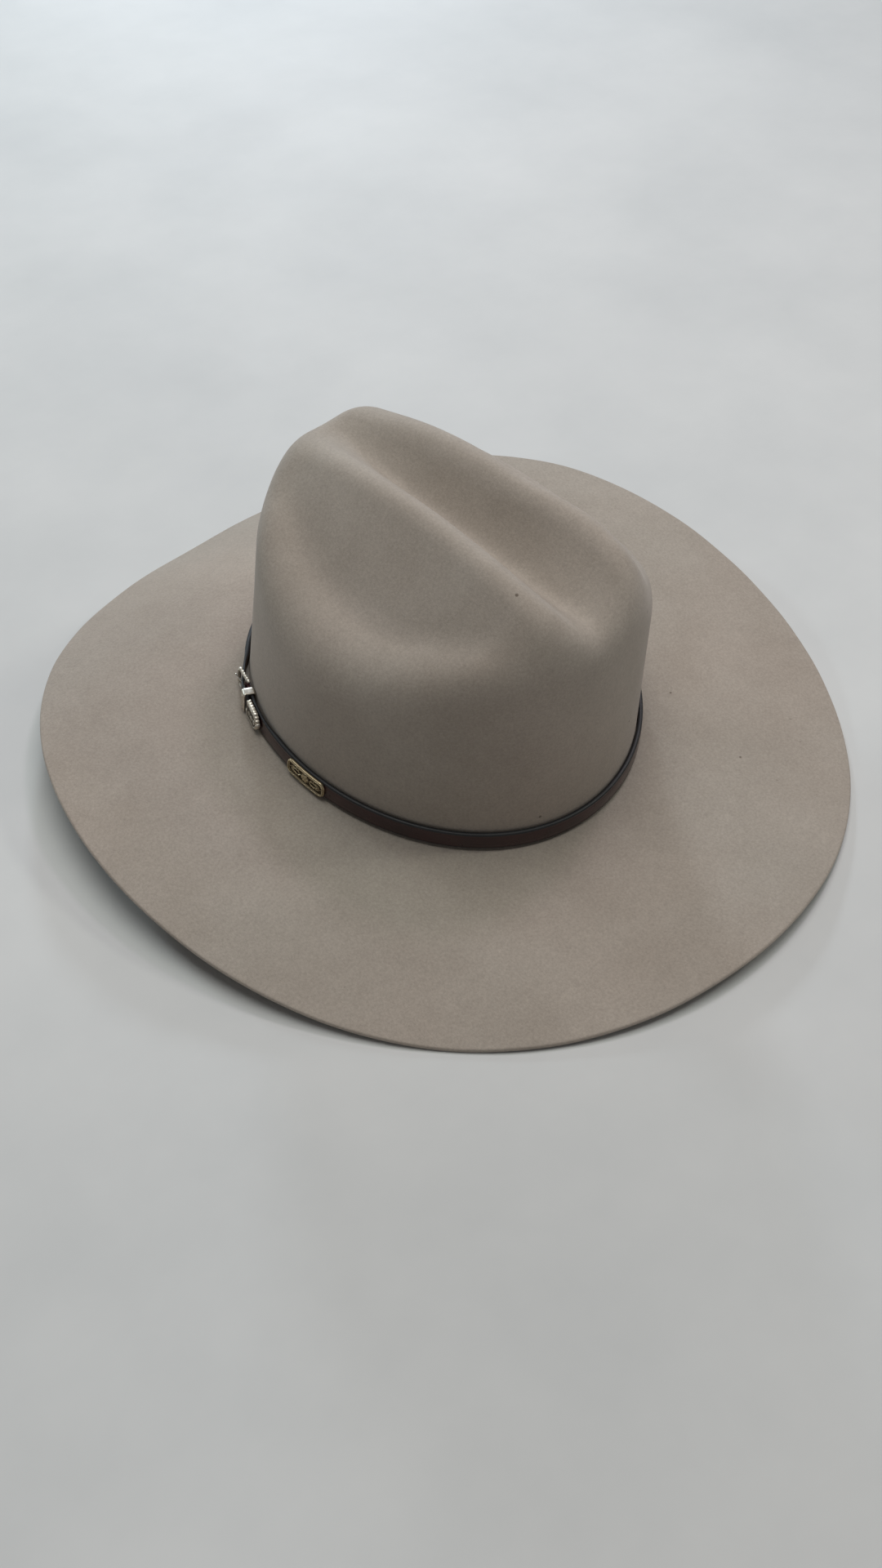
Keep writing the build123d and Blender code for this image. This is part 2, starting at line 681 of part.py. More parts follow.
if __name__ == "__main__":
    os.makedirs("parts", exist_ok=True)
    for name, shape in build().items():
        export_step(shape, f"parts/{name}.step")
    up = np.array(to_row((0, 0, 1))) - np.array(to_row((0, 0, 0)))
    print("crown axis", up.round(6).tolist(), "tilt deg", round(math.degrees(REST_TILT), 4), "shift", round(SHIFT_Y, 3), round(SHIFT_Z, 3))
    for nm, pl in (("buckle bar", local_plane(BAR_S, BAR_N)), ("keeper", local_plane(KEEP_S, 0.0))):
        o, x, z = pl.origin, pl.x_dir, pl.z_dir
        print(nm, "at", [round(v, 4) for v in to_row(tuple(o))],
              "along", (np.array(to_row(tuple(x))) - np.array(to_row((0, 0, 0)))).round(5).tolist(),
              "axis", (np.array(to_row(tuple(z))) - np.array(to_row((0, 0, 0)))).round(5).tolist())
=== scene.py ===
import math

import bmesh
import bpy
import numpy as np
from mathutils import Matrix, Vector


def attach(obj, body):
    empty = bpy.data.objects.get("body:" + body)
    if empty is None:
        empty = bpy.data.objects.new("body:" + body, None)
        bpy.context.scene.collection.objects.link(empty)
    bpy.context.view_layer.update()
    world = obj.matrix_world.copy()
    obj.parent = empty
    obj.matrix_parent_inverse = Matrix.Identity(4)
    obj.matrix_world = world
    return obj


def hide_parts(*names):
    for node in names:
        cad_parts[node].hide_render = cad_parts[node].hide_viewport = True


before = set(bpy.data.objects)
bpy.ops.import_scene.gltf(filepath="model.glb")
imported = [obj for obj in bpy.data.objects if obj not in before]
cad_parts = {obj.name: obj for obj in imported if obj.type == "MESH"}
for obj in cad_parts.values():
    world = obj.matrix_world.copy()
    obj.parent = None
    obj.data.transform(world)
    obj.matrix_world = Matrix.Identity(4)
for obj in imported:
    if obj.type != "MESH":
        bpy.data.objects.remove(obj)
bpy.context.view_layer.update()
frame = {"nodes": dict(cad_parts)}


# ------------------------------------------------------------------ hat surface
# Hat frame in mm: -Y front, +X the wearer's left, z = 0 at the brim break. The
# numbers repeat the CAD model's, and row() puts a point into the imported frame.
A_BAND, B_BAND, EGG, BAND_OFF, ROOT_SADDLE = 105.0, 93.38, 0.0316, 2.5, -3.73
BRIM_W, BRIM_POW, BRIM_T, CROWN_T, ROOT_R = 100.59, 1.80, 2.6, 2.2, 2.0
EDGE_Z = (-9.008, -12.365, -6.606, -7.017, 0.769, -0.723, 0.411)
EDGE_R = (-4.873, -0.043, -2.624, -1.388)
TAPER = (0.0392, 0.0894, 0.0574)
REST_TILT, SHIFT_Y, SHIFT_Z = math.radians(-4.6858), -9.044, 21.145


def row(P):
    """Hat frame, mm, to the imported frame, metres."""
    P = np.asarray(P, float)
    c, s = math.cos(REST_TILT), math.sin(REST_TILT)
    return np.stack([P[..., 0], P[..., 1] * c - P[..., 2] * s + SHIFT_Y,
                     P[..., 1] * s + P[..., 2] * c + SHIFT_Z], -1) / 1000.0


def rowdir(v):
    v = np.asarray(v, float)
    c, s = math.cos(REST_TILT), math.sin(REST_TILT)
    return np.stack([v[..., 0], v[..., 1] * c - v[..., 2] * s, v[..., 1] * s + v[..., 2] * c], -1)


def oval(th, off=0.0):
    th = np.asarray(th, float)
    s, c = np.sin(th), np.cos(th)
    x = B_BAND * s * (1 - EGG * c)
    y = -A_BAND * c
    dx = B_BAND * (c * (1 - EGG * c) + EGG * s * s)
    dy = A_BAND * s
    l = np.hypot(dx, dy)
    n = np.stack([dy / l, -dx / l], -1)
    return np.stack([x, y], -1) + n * np.asarray(off, float)[..., None], n


def root_z(th):
    return ROOT_SADDLE * np.cos(2 * th)


def taper(th):
    c = np.cos(th)
    return TAPER[0] + (TAPER[1] - TAPER[0]) * np.maximum(c, 0) ** 2 + (TAPER[2] - TAPER[0]) * np.maximum(-c, 0) ** 2


def edge(th):
    H, n = oval(th)
    zb = root_z(th)
    z = sum(EDGE_Z[k] * np.cos(k * th) for k in range(7))
    w = BRIM_W + sum(EDGE_R[k - 1] * np.cos(k * th) for k in range(1, 5))
    short = BRIM_POW ** 2 * (z - zb) ** 2 / (2 * BRIM_W * (2 * BRIM_POW - 1))
    E = H + n * (w - short)[..., None]
    return np.concatenate([E, z[..., None]], -1)


def brim_top(th, t):
    H, n = oval(th, -BAND_OFF)
    E = edge(th)
    zb = root_z(th)
    xy = H + (E[..., :2] - H) * t
    z = zb + (E[..., 2] - zb) * t ** BRIM_POW
    return np.concatenate([xy, z[..., None]], -1)


def brim_point(th, t):
    e = 1e-3
    P = brim_top(th, t)
    N = np.cross(brim_top(th, t + e) - brim_top(th, t - e), brim_top(th + e, t) - brim_top(th - e, t))
    N /= np.linalg.norm(N, axis=-1, keepdims=True)
    return P, N * np.sign(N[..., 2:3])


def knots(table, y):
    xs = np.array([a for a, _ in table], float)
    vs = np.array([b for _, b in table], float)
    m = np.gradient(vs, xs)
    y = np.clip(y, xs[0], xs[-1])
    i = np.clip(np.searchsorted(xs, y) - 1, 0, len(xs) - 2)
    h = xs[i + 1] - xs[i]
    t = (y - xs[i]) / h
    return ((2 * t ** 3 - 3 * t ** 2 + 1) * vs[i] + (t ** 3 - 2 * t ** 2 + t) * h * m[i]
            + (-2 * t ** 3 + 3 * t ** 2) * vs[i + 1] + (t ** 3 - t ** 2) * h * m[i + 1])


RIDGE_Z = [(-115, 102), (-100, 110), (-90, 114), (-76, 118.5), (-50, 125.5), (-10, 131.5), (30, 132.5), (60, 130), (80, 124.5), (95, 115.5), (115, 100)]
RIDGE_X = [(-115, 16), (-90, 19), (-50, 20.5), (0, 22), (60, 23.5), (85, 21.5), (100, 17), (115, 13)]
CREASE_Z = [(-115, 107), (-94, 112.5), (-76, 112.5), (-50, 110), (-15, 108.5), (25, 108), (60, 108.5), (80, 110), (94, 111.5), (115, 106)]
FACE = [(-115, 0.3), (-88, 0.4), (-78, 0.6), (-70, 0.8), (-60, 0.95), (-47, 1.06), (-21, 1.15), (10, 1.18), (45, 1.18), (60, 1.14), (68, 1.06), (76, 0.93), (86, 0.78), (95, 0.66), (115, 0.5)]
SHELF_Z = [(-115, 98), (-100, 101), (-85, 103.5), (-61, 103), (-47, 100.5), (-21, 97), (10, 96.5), (28, 98.7), (44, 103), (57, 106.7), (67, 110), (76, 110.5), (86, 108.5), (95, 105.5), (115, 100)]
ROUND_K = [(-115, 9), (-90, 9), (-60, 11), (-20, 17), (20, 19), (60, 20), (90, 16), (115, 15)]


def smooth01(q):
    q = np.clip(q, 0, 1)
    return q * q * (3 - 2 * q)


def smax(a, b, k):
    h = np.maximum(k - np.abs(a - b), 0) / k
    return np.maximum(a, b) + h * h * k / 4


def crown_top(x, y, ridge=1.0, drop=0.0):
    ax = np.abs(x)
    far = (x < 0) * 1.0
    zc = knots(CREASE_Z, y)
    xr = knots(RIDGE_X, y) + 6.0 * far * smooth01((y - 5) / 55.0)
    m = knots(FACE, y + far * (24.0 * smooth01(-(y + 30) / 40.0) - 14.0 * smooth01((y - 35) / 35.0))) + 0.3 * far * smooth01((y + 20) / 50.0)
    rise = np.maximum(knots(RIDGE_Z, y) - zc, 0.5) * ridge
    r0 = 5.0
    run = np.sqrt(xr * xr + r0 * r0) - r0
    w = 9.0
    apex = rise + w / 4 * (rise / run + m) * 1.05
    inner = zc + apex * (np.sqrt(ax * ax + r0 * r0) - r0) / run
    face = zc + apex - m * (ax - xr)
    shelf = knots(SHELF_Z, y) - 0.25 * (ax - 50) - 8.0 * far
    outer = smax(face, shelf, 4.0 * np.maximum(m - 0.25, 0.2) + 1.5)
    return -smax(-inner, -outer, w * (apex / run + m)) - drop


def crown_field(x, y, z, inset=0.0, ridge=1.0, drop=0.0, round_k=0.0):
    a, b = A_BAND - BAND_OFF, B_BAND - BAND_OFF
    q = b * (1 + EGG * y / a)
    g = np.sqrt((x / q) ** 2 + (y / a) ** 2) + 1e-9
    gx, gy = x / q ** 2 / g, y / a ** 2 / g
    grad = np.sqrt(gx ** 2 + gy ** 2) + 1e-9
    th = np.arctan2(x / q, -y / a)
    wall = (g - 1) / grad + taper(th) * np.maximum(z, 0) + inset
    return smax(wall, (z - crown_top(x, y, ridge, drop)) * 0.8, knots(ROUND_K, y) + round_k)


Z_SPLIT = 62.0


def crown_ring(u, th, **kw):
    """Closed section of the crown: u 0..1 climbs the wall, 1..2 swings over the top."""
    H, _ = oval(th, -BAND_OFF)
    H = H / np.linalg.norm(H, axis=-1, keepdims=True)
    e = max(u - 1, 0) * math.pi / 2
    z0 = np.zeros_like(th) + min(u, 1) * Z_SPLIT
    d = np.stack([H[..., 0] * math.cos(e), H[..., 1] * math.cos(e), math.sin(e) + 0 * th], -1)
    lo, hi = np.zeros_like(th) + 2.0, np.zeros_like(th) + 170.0
    for _ in range(40):
        m = (lo + hi) / 2
        f = crown_field(d[..., 0] * m, d[..., 1] * m, z0 + d[..., 2] * m, **kw)
        lo, hi = np.where(f < 0, m, lo), np.where(f < 0, hi, m)
    m = (lo + hi) / 2
    return np.stack([d[..., 0] * m, d[..., 1] * m, z0 + d[..., 2] * m], -1)


def crown_normal(P, **kw):
    h = 0.6
    f = lambda a, b, c: crown_field(P[..., 0] + a, P[..., 1] + b, P[..., 2] + c, **kw)
    n = np.stack([f(h, 0, 0) - f(-h, 0, 0), f(0, h, 0) - f(0, -h, 0), f(0, 0, h) - f(0, 0, -h)], -1)
    return n / np.linalg.norm(n, axis=-1, keepdims=True)


def wall_ring(z, off, th):
    H, n = oval(th, -BAND_OFF)
    P = H + n * (off - taper(th) * max(z, 0.0))[:, None]
    return np.concatenate([P, (root_z(th) + z)[:, None]], -1)


# ------------------------------------------------------------------ band frames
def at(th, n, k):
    """Point n outside the felt wall and k above the brim break."""
    th, n, k = np.broadcast_arrays(np.asarray(th, float), np.asarray(n, float), np.asarray(k, float))
    H, nn = oval(th, -BAND_OFF)
    P = H + nn * (n - taper(th) * k)[..., None]
    return np.concatenate([P, (root_z(th) + k)[..., None]], -1)


STRAP_MID = 6.3
TH_RAIL, MM_PER_RAD = math.radians(51.0), 99.6


def th_at(s):
    return TH_RAIL + np.asarray(s, float) / MM_PER_RAD


class Local:
    """Frame on the band: x rearwards along it, z up, -y outwards, all in mm."""

    def __init__(self, th, n, k=STRAP_MID, tilt=0.0):
        th = float(th)
        x = at(th + 1e-3, n, k) - at(th - 1e-3, n, k)
        x /= np.linalg.norm(x)
        z = at(th, n, k + 1) - at(th, n, k - 1)
        z -= x * (z @ x)
        z /= np.linalg.norm(z)
        y = np.cross(z, x)
        c, s = math.cos(tilt), math.sin(tilt)
        self.o, self.z = at(th, n, k), z
        self.x, self.y = x * c + y * s, y * c - x * s

    def __call__(self, P):
        P = np.asarray(P, float)
        return row(self.o + P[..., 0:1] * self.x + P[..., 1:2] * self.y + P[..., 2:3] * self.z)


def smooth(a, b, v):
    return smooth01((np.asarray(v, float) - a) / (b - a))


def curve_radius(th):
    d = 0.02
    H, _ = oval(np.array([th - 2 * d, th, th + 2 * d]), 0.0)
    a, b, c = (np.linalg.norm(H[i] - H[j]) for i, j in ((0, 1), (1, 2), (0, 2)))
    s = (a + b + c) / 2
    return float(a * b * c / (4 * math.sqrt(s * (s - a) * (s - b) * (s - c))))


# ------------------------------------------------------------------ mesh helpers
def mesh_object(name, verts, faces, flat=False):
    me = bpy.data.meshes.new(name)
    me.from_pydata([tuple(map(float, v)) for v in verts], [], [tuple(map(int, f)) for f in faces])
    me.validate()
    if not flat:
        me.polygons.foreach_set("use_smooth", [True] * len(me.polygons))
    me.update()
    ob = bpy.data.objects.new(name, me)
    bpy.context.scene.collection.objects.link(ob)
    return ob


def fix_normals(ob):
    bm = bmesh.new()
    bm.from_mesh(ob.data)
    bmesh.ops.recalc_face_normals(bm, faces=bm.faces)
    bm.to_mesh(ob.data)
    bm.free()
    ob.data.update()
    return ob


def ring_faces(n, m, base=0, closed=False):
    j = np.arange(n)
    k = (j + 1) % n
    out = []
    for i in range(m if closed else m - 1):
        a, b = base + i * n, base + ((i + 1) % m) * n
        out.append(np.stack([a + j, b + j, b + k, a + k], -1))
    return np.concatenate(out).tolist()


class Pile:
    """Collects shapes into one mesh."""

    def __init__(self):
        self.v, self.f, self.n, self.mat = [], [], 0, []

    def add(self, verts, faces, mat=0):
        verts = np.asarray(verts, float).reshape(-1, 3)
        self.v.append(verts)
        self.f += [[int(i) + self.n for i in f] for f in faces]
        self.mat += [mat] * len(faces)
        self.n += len(verts)

    def rings(self, rings, first=None, last=None, closed=False, cap=False, mat=0):
        n, m = len(rings[0]), len(rings)
        verts = list(np.concatenate(rings))
        faces = ring_faces(n, m, 0, closed)
        j = np.arange(n)
        k = (j + 1) % n
        if cap:
            first = np.mean(rings[0], 0) if first is None else first
            last = np.mean(rings[-1], 0) if last is None else last
        if first is not None:
            verts.append(np.asarray(first, float))
            faces += [[len(verts) - 1, int(p), int(q)] for p, q in zip(j, k)]
        if last is not None:
            verts.append(np.asarray(last, float))
            b = (m - 1) * n
            faces += [[len(verts) - 1, int(b + q), int(b + p)] for p, q in zip(j, k)]
        self.add(np.array(verts), faces, mat)

    def ball(self, c, r, place, squash=(1, 1, 1), seg=10):
        """A small ball or lens at c in a local frame."""
        rings = []
        for a in np.linspace(0, math.pi, seg // 2 + 2)[1:-1]:
            t = np.arange(seg) * 2 * math.pi / seg
            p = np.stack([np.sin(a) * np.cos(t), np.full(seg, np.cos(a)), np.sin(a) * np.sin(t)], -1)
            rings.append(place(np.asarray(c) + p * r * np.asarray(squash)))
        self.rings(rings, place(np.asarray(c) + np.array([0, r * squash[1], 0])), place(np.asarray(c) - np.array([0, r * squash[1], 0])))

    def tube(self, pts, r, place, seg=8, up=(0, 1, 0)):
        """A round tube along an open line, with rounded ends; r is a number or one per point."""
        pts = np.asarray(pts, float)
        r = np.broadcast_to(np.asarray(r, float), (len(pts),))
        T = np.gradient(pts, axis=0)
        T /= np.linalg.norm(T, axis=1, keepdims=True)
        N = np.cross(T, np.asarray(up, float))
        N /= np.linalg.norm(N, axis=1, keepdims=True) + 1e-12
        B = np.cross(T, N)
        a = np.arange(seg) * 2 * math.pi / seg
        rings = []
        for e in (0.35, 0.75):
            rings.append(place(pts[0] - T[0] * r[0] * math.cos(math.asin(e)) + (N[0] * np.cos(a)[:, None] + B[0] * np.sin(a)[:, None]) * r[0] * e))
        for p, n, b, q in zip(pts, N, B, r):
            rings.append(place(p + (n * np.cos(a)[:, None] + b * np.sin(a)[:, None]) * q))
        for e in (0.75, 0.35):
            rings.append(place(pts[-1] + T[-1] * r[-1] * math.cos(math.asin(e)) + (N[-1] * np.cos(a)[:, None] + B[-1] * np.sin(a)[:, None]) * r[-1] * e))
        self.rings(rings, cap=True)

    def closed_tube(self, C, D1, D2, r, seg=12, twist=None, place=None):
        """A tube of radius r round a closed line; twist(i, a) scales the radius."""
        m = len(C)
        a = np.arange(seg) * 2 * math.pi / seg
        rings = []
        for i in range(m):
            rr = r * (twist(i, a) if twist else np.ones(seg))
            p = C[i] + D1[i] * (np.cos(a) * rr)[:, None] + D2[i] * (np.sin(a) * rr)[:, None]
            rings.append(place(p) if place else row(p))
        self.rings(rings, closed=True)

    def make(self, name, mats=()):
        ob = mesh_object(name, np.concatenate(self.v), self.f)
        if max(self.mat, default=0) > 0:
            ob.data.polygons.foreach_set("material_index", self.mat)
        for m in mats:
            ob.data.materials.append(m)
        return fix_normals(ob)


def boolean(ob, cutter):
    m = ob.modifiers.new("cut", "BOOLEAN")
    m.operation, m.solver, m.object = "DIFFERENCE", "EXACT", cutter
    dg = bpy.context.evaluated_depsgraph_get()
    me = bpy.data.meshes.new_from_object(ob.evaluated_get(dg))
    ob.modifiers.clear()
    ob.data = me
    bpy.data.objects.remove(cutter)
    return ob


def rrect(t, hx, hy, r):
    """Rounded rectangle by the fraction t round it, the same share to each side and corner for any size."""
    t = np.asarray(t, float) % 1.0
    k = np.floor(t * 8).astype(int)
    q = t * 8 - k
    cx, cy = hx - r, hy - r
    corners = np.array([(cx, -cy), (cx, cy), (-cx, cy), (-cx, -cy)], float)
    out = np.zeros(t.shape + (2,))
    for i in range(4):
        a0 = math.radians(-90 + 90 * i)
        on = k == 2 * i
        a = a0 + q * math.pi / 2
        arc = corners[i] + r * np.stack([np.cos(a), np.sin(a)], -1)
        out = np.where(on[..., None], arc, out)
        on = k == 2 * i + 1
        p0 = corners[i] + r * np.array([math.cos(a0 + math.pi / 2), math.sin(a0 + math.pi / 2)])
        p1 = corners[(i + 1) % 4] + r * np.array([math.cos(a0 + math.pi / 2), math.sin(a0 + math.pi / 2)])
        out = np.where(on[..., None], p0 + (p1 - p0) * q[..., None], out)
    return out


# ------------------------------------------------------------------ materials
class Mat:
    """A node material round one Principled shader."""

    def __init__(self, name):
        self.m = bpy.data.materials.new(name)
        self.m.use_nodes = True
        self.t = self.m.node_tree
        self.b = self.t.nodes["Principled BSDF"]
        self.co = self.t.nodes.new("ShaderNodeTexCoord").outputs["Object"]

    def set(self, **kw):
        for k, v in kw.items():
            s = self.b.inputs[k.replace("_", " ")]
            s.default_value = (*v, 1.0) if isinstance(v, tuple) and len(v) == 3 and s.type == "RGBA" else v
        return self

    def node(self, kind, **kw):
        n = self.t.nodes.new(kind)
        for k, v in kw.items():
            setattr(n, k, v)
        return n

    def link(self, a, b):
        self.t.links.new(a, b)

    def scaled(self, x, y, z, co=None):
        m = self.node("ShaderNodeMapping")
        m.inputs["Scale"].default_value = (x, y, z)
        self.link(co or self.co, m.inputs["Vector"])
        return m.outputs["Vector"]

    def noise(self, size, detail=3.0, rough=0.55, co=None, distort=0.0):
        """Noise whose features are about size metres across, 0..1."""
        n = self.node("ShaderNodeTexNoise")
        n.inputs["Scale"].default_value = 1.0 / size
        n.inputs["Detail"].default_value = detail
        n.inputs["Roughness"].default_value = rough
        n.inputs["Distortion"].default_value = distort
        self.link(co or self.co, n.inputs["Vector"])
        return n.outputs["Fac"]

    def ramp(self, fac, stops):
        r = self.node("ShaderNodeValToRGB")
        e = r.color_ramp.elements
        while len(e) < len(stops):
            e.new(0.5)
        for el, (p, c) in zip(e, stops):
            el.position = p
            el.color = (*c, 1.0) if isinstance(c, tuple) else (c, c, c, 1.0)
        self.link(fac, r.inputs["Fac"])
        return r.outputs["Color"]

    def mix(self, fac, a, b, how="MIX"):
        n = self.node("ShaderNodeMix", data_type="RGBA", blend_type=how)
        for s, v in (("Factor", fac), ("A", a), ("B", b)):
            s = [i for i in n.inputs if i.name == s and i.enabled and (s == "Factor" and i.type == "VALUE" or s != "Factor" and i.type == "RGBA")][0]
            if isinstance(v, (int, float)) and s.type == "VALUE":
                s.default_value = v
            elif isinstance(v, tuple):
                s.default_value = (*v, 1.0)
            else:
                self.link(v, s)
        return [o for o in n.outputs if o.type == "RGBA"][0]

    def math(self, op, a, b=0.0, clamp=False):
        n = self.node("ShaderNodeMath", operation=op, use_clamp=clamp)
        for s, v in zip(n.inputs, (a, b)):
            if isinstance(v, (int, float)):
                s.default_value = v
            else:
                self.link(v, s)
        return n.outputs[0]

    def bump(self, height, strength, distance, after=None):
        n = self.node("ShaderNodeBump")
        n.inputs["Strength"].default_value = strength
        n.inputs["Distance"].default_value = distance
        self.link(height, n.inputs["Height"])
        if after is not None:
            self.link(after, n.inputs["Normal"])
        return n.outputs["Normal"]

    def to(self, sock, out):
        self.link(out, self.b.inputs[sock])
        return self


def felt_material():
    m = Mat("felt_fur")
    m.set(Roughness=0.92, Sheen_Weight=0.22, Sheen_Roughness=0.55, Sheen_Tint=(0.86, 0.82, 0.80), Specular_IOR_Level=0.22)
    soft = m.ramp(m.noise(0.045, 4, 0.6), [(0.3, (0.372, 0.326, 0.277)), (0.7, (0.425, 0.378, 0.326))])
    tone = m.ramp(m.noise(0.16, 2, 0.5), [(0.35, (1.0, 1.0, 1.0)), (0.7, (1.03, 0.985, 0.975))])
    nap = m.ramp(m.noise(0.0013, 5, 0.72), [(0.32, 0.87), (0.68, 1.10)])
    fibre = m.ramp(m.noise(0.00042, 3, 0.6, m.scaled(1.0, 0.28, 1.0), 0.6), [(0.3, 0.93), (0.7, 1.05)])
    mottle = m.ramp(m.noise(0.0065, 4, 0.65), [(0.32, 0.975), (0.68, 1.02)])
    soft = m.mix(1.0, soft, mottle, "MULTIPLY")
    col = m.mix(1.0, m.mix(1.0, m.mix(1.0, soft, tone, "MULTIPLY"), nap, "MULTIPLY"), fibre, "MULTIPLY")
    # rare dark guard hairs and specks in the fur
    v = m.node("ShaderNodeTexVoronoi", feature="F1")
    v.inputs["Scale"].default_value = 1 / 0.016
    m.link(m.co, v.inputs["Vector"])
    dot = m.ramp(v.outputs["Distance"], [(0.034, 1.0), (0.058, 0.0)])
    rare = m.ramp(m.noise(0.014, 1, 0.5), [(0.54, 0.0), (0.57, 1.0)])
    speck = m.mix(1.0, dot, rare, "MULTIPLY")
    sep = m.node("ShaderNodeSeparateColor")
    m.link(speck, sep.inputs["Color"])
    col = m.mix(m.math("MULTIPLY", sep.outputs[0], 0.75), col, (0.10, 0.075, 0.055))
    m.to("Base Color", col)
    rough = m.math("ADD", m.math("MULTIPLY", m.noise(0.03, 3), 0.1), 0.86)
    m.to("Roughness", rough)
    n = m.bump(m.noise(0.0042, 4, 0.6), 0.16, 0.0006)
    n = m.bump(m.noise(0.00075, 4, 0.7), 0.34, 0.00028, n)
    n = m.bump(m.noise(0.00032, 2, 0.6, m.scaled(1.0, 0.3, 1.0)), 0.22, 0.00012, n)
    m.to("Normal", n)
    return m.m


def leather_material(name, dark, light, rough=0.42, grain=0.0007, depth=0.00006, wax=0.0, edge=None):
    """Smooth leather: fine pebble grain, pores, and a slow change of tone."""
    m = Mat(name)
    m.set(Specular_IOR_Level=0.5, Coat_Weight=wax, Coat_Roughness=0.32)
    col = m.ramp(m.noise(0.014, 4, 0.6), [(0.3, dark), (0.72, light)])
    pores = m.ramp(m.noise(grain, 3, 0.65), [(0.3, 0.86), (0.6, 1.04)])
    col = m.mix(1.0, col, pores, "MULTIPLY")
    if edge is not None:
        g = m.node("ShaderNodeNewGeometry")
        worn = m.ramp(g.outputs["Pointiness"], [(0.515, 0.0), (0.56, 1.0)])
        w = m.node("ShaderNodeSeparateColor")
        m.link(worn, w.inputs["Color"])
        col = m.mix(m.math("MULTIPLY", w.outputs[0], 0.75), col, edge)
    m.to("Base Color", col)
    m.to("Roughness", m.math("ADD", m.math("MULTIPLY", m.noise(0.008, 4, 0.6), 0.22), rough - 0.11))
    v = m.node("ShaderNodeTexVoronoi", feature="DISTANCE_TO_EDGE")
    v.inputs["Scale"].default_value = 1 / grain
    m.link(m.co, v.inputs["Vector"])
    cell = m.ramp(v.outputs["Distance"], [(0.0, 0.0), (0.22, 1.0)])
    n = m.bump(m.noise(0.006, 3, 0.5), 0.12, 0.0003)
    n = m.bump(cell, 0.35, depth, n)
    m.to("Normal", n)
    return m.m


def satin_material(name, a, b, size=0.00035, rough=0.34):
    """Woven satin: long floats across the cloth, soft streaky shine."""
    m = Mat(name)
    m.set(Sheen_Weight=0.25, Sheen_Roughness=0.35, Anisotropic=0.45, Specular_IOR_Level=0.55)
    col = m.ramp(m.noise(0.02, 3, 0.5), [(0.3, a), (0.7, b)])
    weave = m.ramp(m.noise(size, 2, 0.6, m.scaled(1.0, 1.0, 0.12)), [(0.3, 0.9), (0.7, 1.06)])
    m.to("Base Color", m.mix(1.0, col, weave, "MULTIPLY"))
    m.to("Roughness", m.math("ADD", m.math("MULTIPLY", m.noise(0.003, 3), 0.12), rough - 0.06))
    w = m.node("ShaderNodeTexWave", wave_type="BANDS", bands_direction="Z")
    w.inputs["Scale"].default_value = 1 / (size * 20)
    w.inputs["Distortion"].default_value = 2.0
    w.inputs["Detail"].default_value = 2.0
    m.link(m.co, w.inputs["Vector"])
    n = m.bump(w.outputs["Fac"], 0.12, 0.00005)
    n = m.bump(m.noise(size, 2, 0.6, m.scaled(1.0, 1.0, 0.15)), 0.3, 0.00004, n)
    m.to("Normal", n)
    return m.m


def metal_material(name, bright, dull, rough=0.28, dark=(0.05, 0.04, 0.03), scratch=0.0004):
    """Cast and engraved metal, polished on the high spots; darker in the hollows and where parts meet, partly the
    antique finish and partly painted shade.
    """
    m = Mat(name)
    m.set(Metallic=1.0)
    col = m.ramp(m.noise(0.0016, 4, 0.6), [(0.32, dull), (0.66, bright)])
    # painted shade: concavity and ambient occlusion pull the colour towards the dark tone in recesses and where parts
    # meet, on top of the antique darkening of the castings
    g = m.node("ShaderNodeNewGeometry")
    low = m.ramp(g.outputs["Pointiness"], [(0.40, 1.0), (0.49, 0.0)])
    s = m.node("ShaderNodeSeparateColor")
    m.link(low, s.inputs["Color"])
    ao = m.node("ShaderNodeAmbientOcclusion")
    ao.inputs["Distance"].default_value = 0.0009
    occlusion_shade = m.math("SUBTRACT", 1.0, ao.outputs["AO"], True)
    fac = m.math("MULTIPLY", m.math("MAXIMUM", s.outputs[0], occlusion_shade), 0.85)
    m.to("Base Color", m.mix(fac, col, dark))
    m.to("Roughness", m.math("ADD", m.math("MULTIPLY", m.noise(scratch, 3, 0.6, m.scaled(1.0, 1.0, 0.2)), 0.25), rough - 0.1))
    m.to("Normal", m.bump(m.noise(0.0003, 3, 0.6), 0.18, 0.00004))
    return m.m


def thread_material(name, a, b):
    m = Mat(name)
    m.set(Sheen_Weight=0.2, Sheen_Roughness=0.4)
    m.to("Base Color", m.ramp(m.noise(0.0006, 3), [(0.3, a), (0.7, b)]))
    m.to("Roughness", m.math("ADD", m.math("MULTIPLY", m.noise(0.0005, 2), 0.2), 0.5))
    w = m.node("ShaderNodeTexWave", wave_type="BANDS", bands_direction="DIAGONAL")
    w.inputs["Scale"].default_value = 1 / 0.008
    m.link(m.co, w.inputs["Vector"])
    m.to("Normal", m.bump(w.outputs["Fac"], 0.4, 0.00008))
    return m.m


def plastic_material(name, a, b, rough, alpha=None):
    m = Mat(name)
    m.to("Base Color", m.ramp(m.noise(0.006, 3), [(0.3, a), (0.7, b)]))
    m.to("Roughness", m.math("ADD", m.math("MULTIPLY", m.noise(0.004, 4, 0.6), 0.18), rough))
    m.to("Normal", m.bump(m.noise(0.0025, 3), 0.1, 0.0001))
    if alpha is not None:
        m.set(Transmission_Weight=alpha, IOR=1.46)
    return m.m




# ------------------------------------------------------------------ felt
def uneven(P, N, amount):
    """Very slight hand-worked unevenness of the felt, none near the hatband."""
    x, y, z = P[..., 0], P[..., 1], P[..., 2]
    w = (np.sin(x / 17.0 + 1.3) * np.sin(y / 23.0 + 0.4) + 0.6 * np.sin(x / 9.5 - y / 13.0 + 2.0)
         + 0.5 * np.sin(z / 12.0 + x / 31.0) + 0.35 * np.sin(y / 6.7 + x / 11.0))
    return P + N * (w * amount)[..., None]


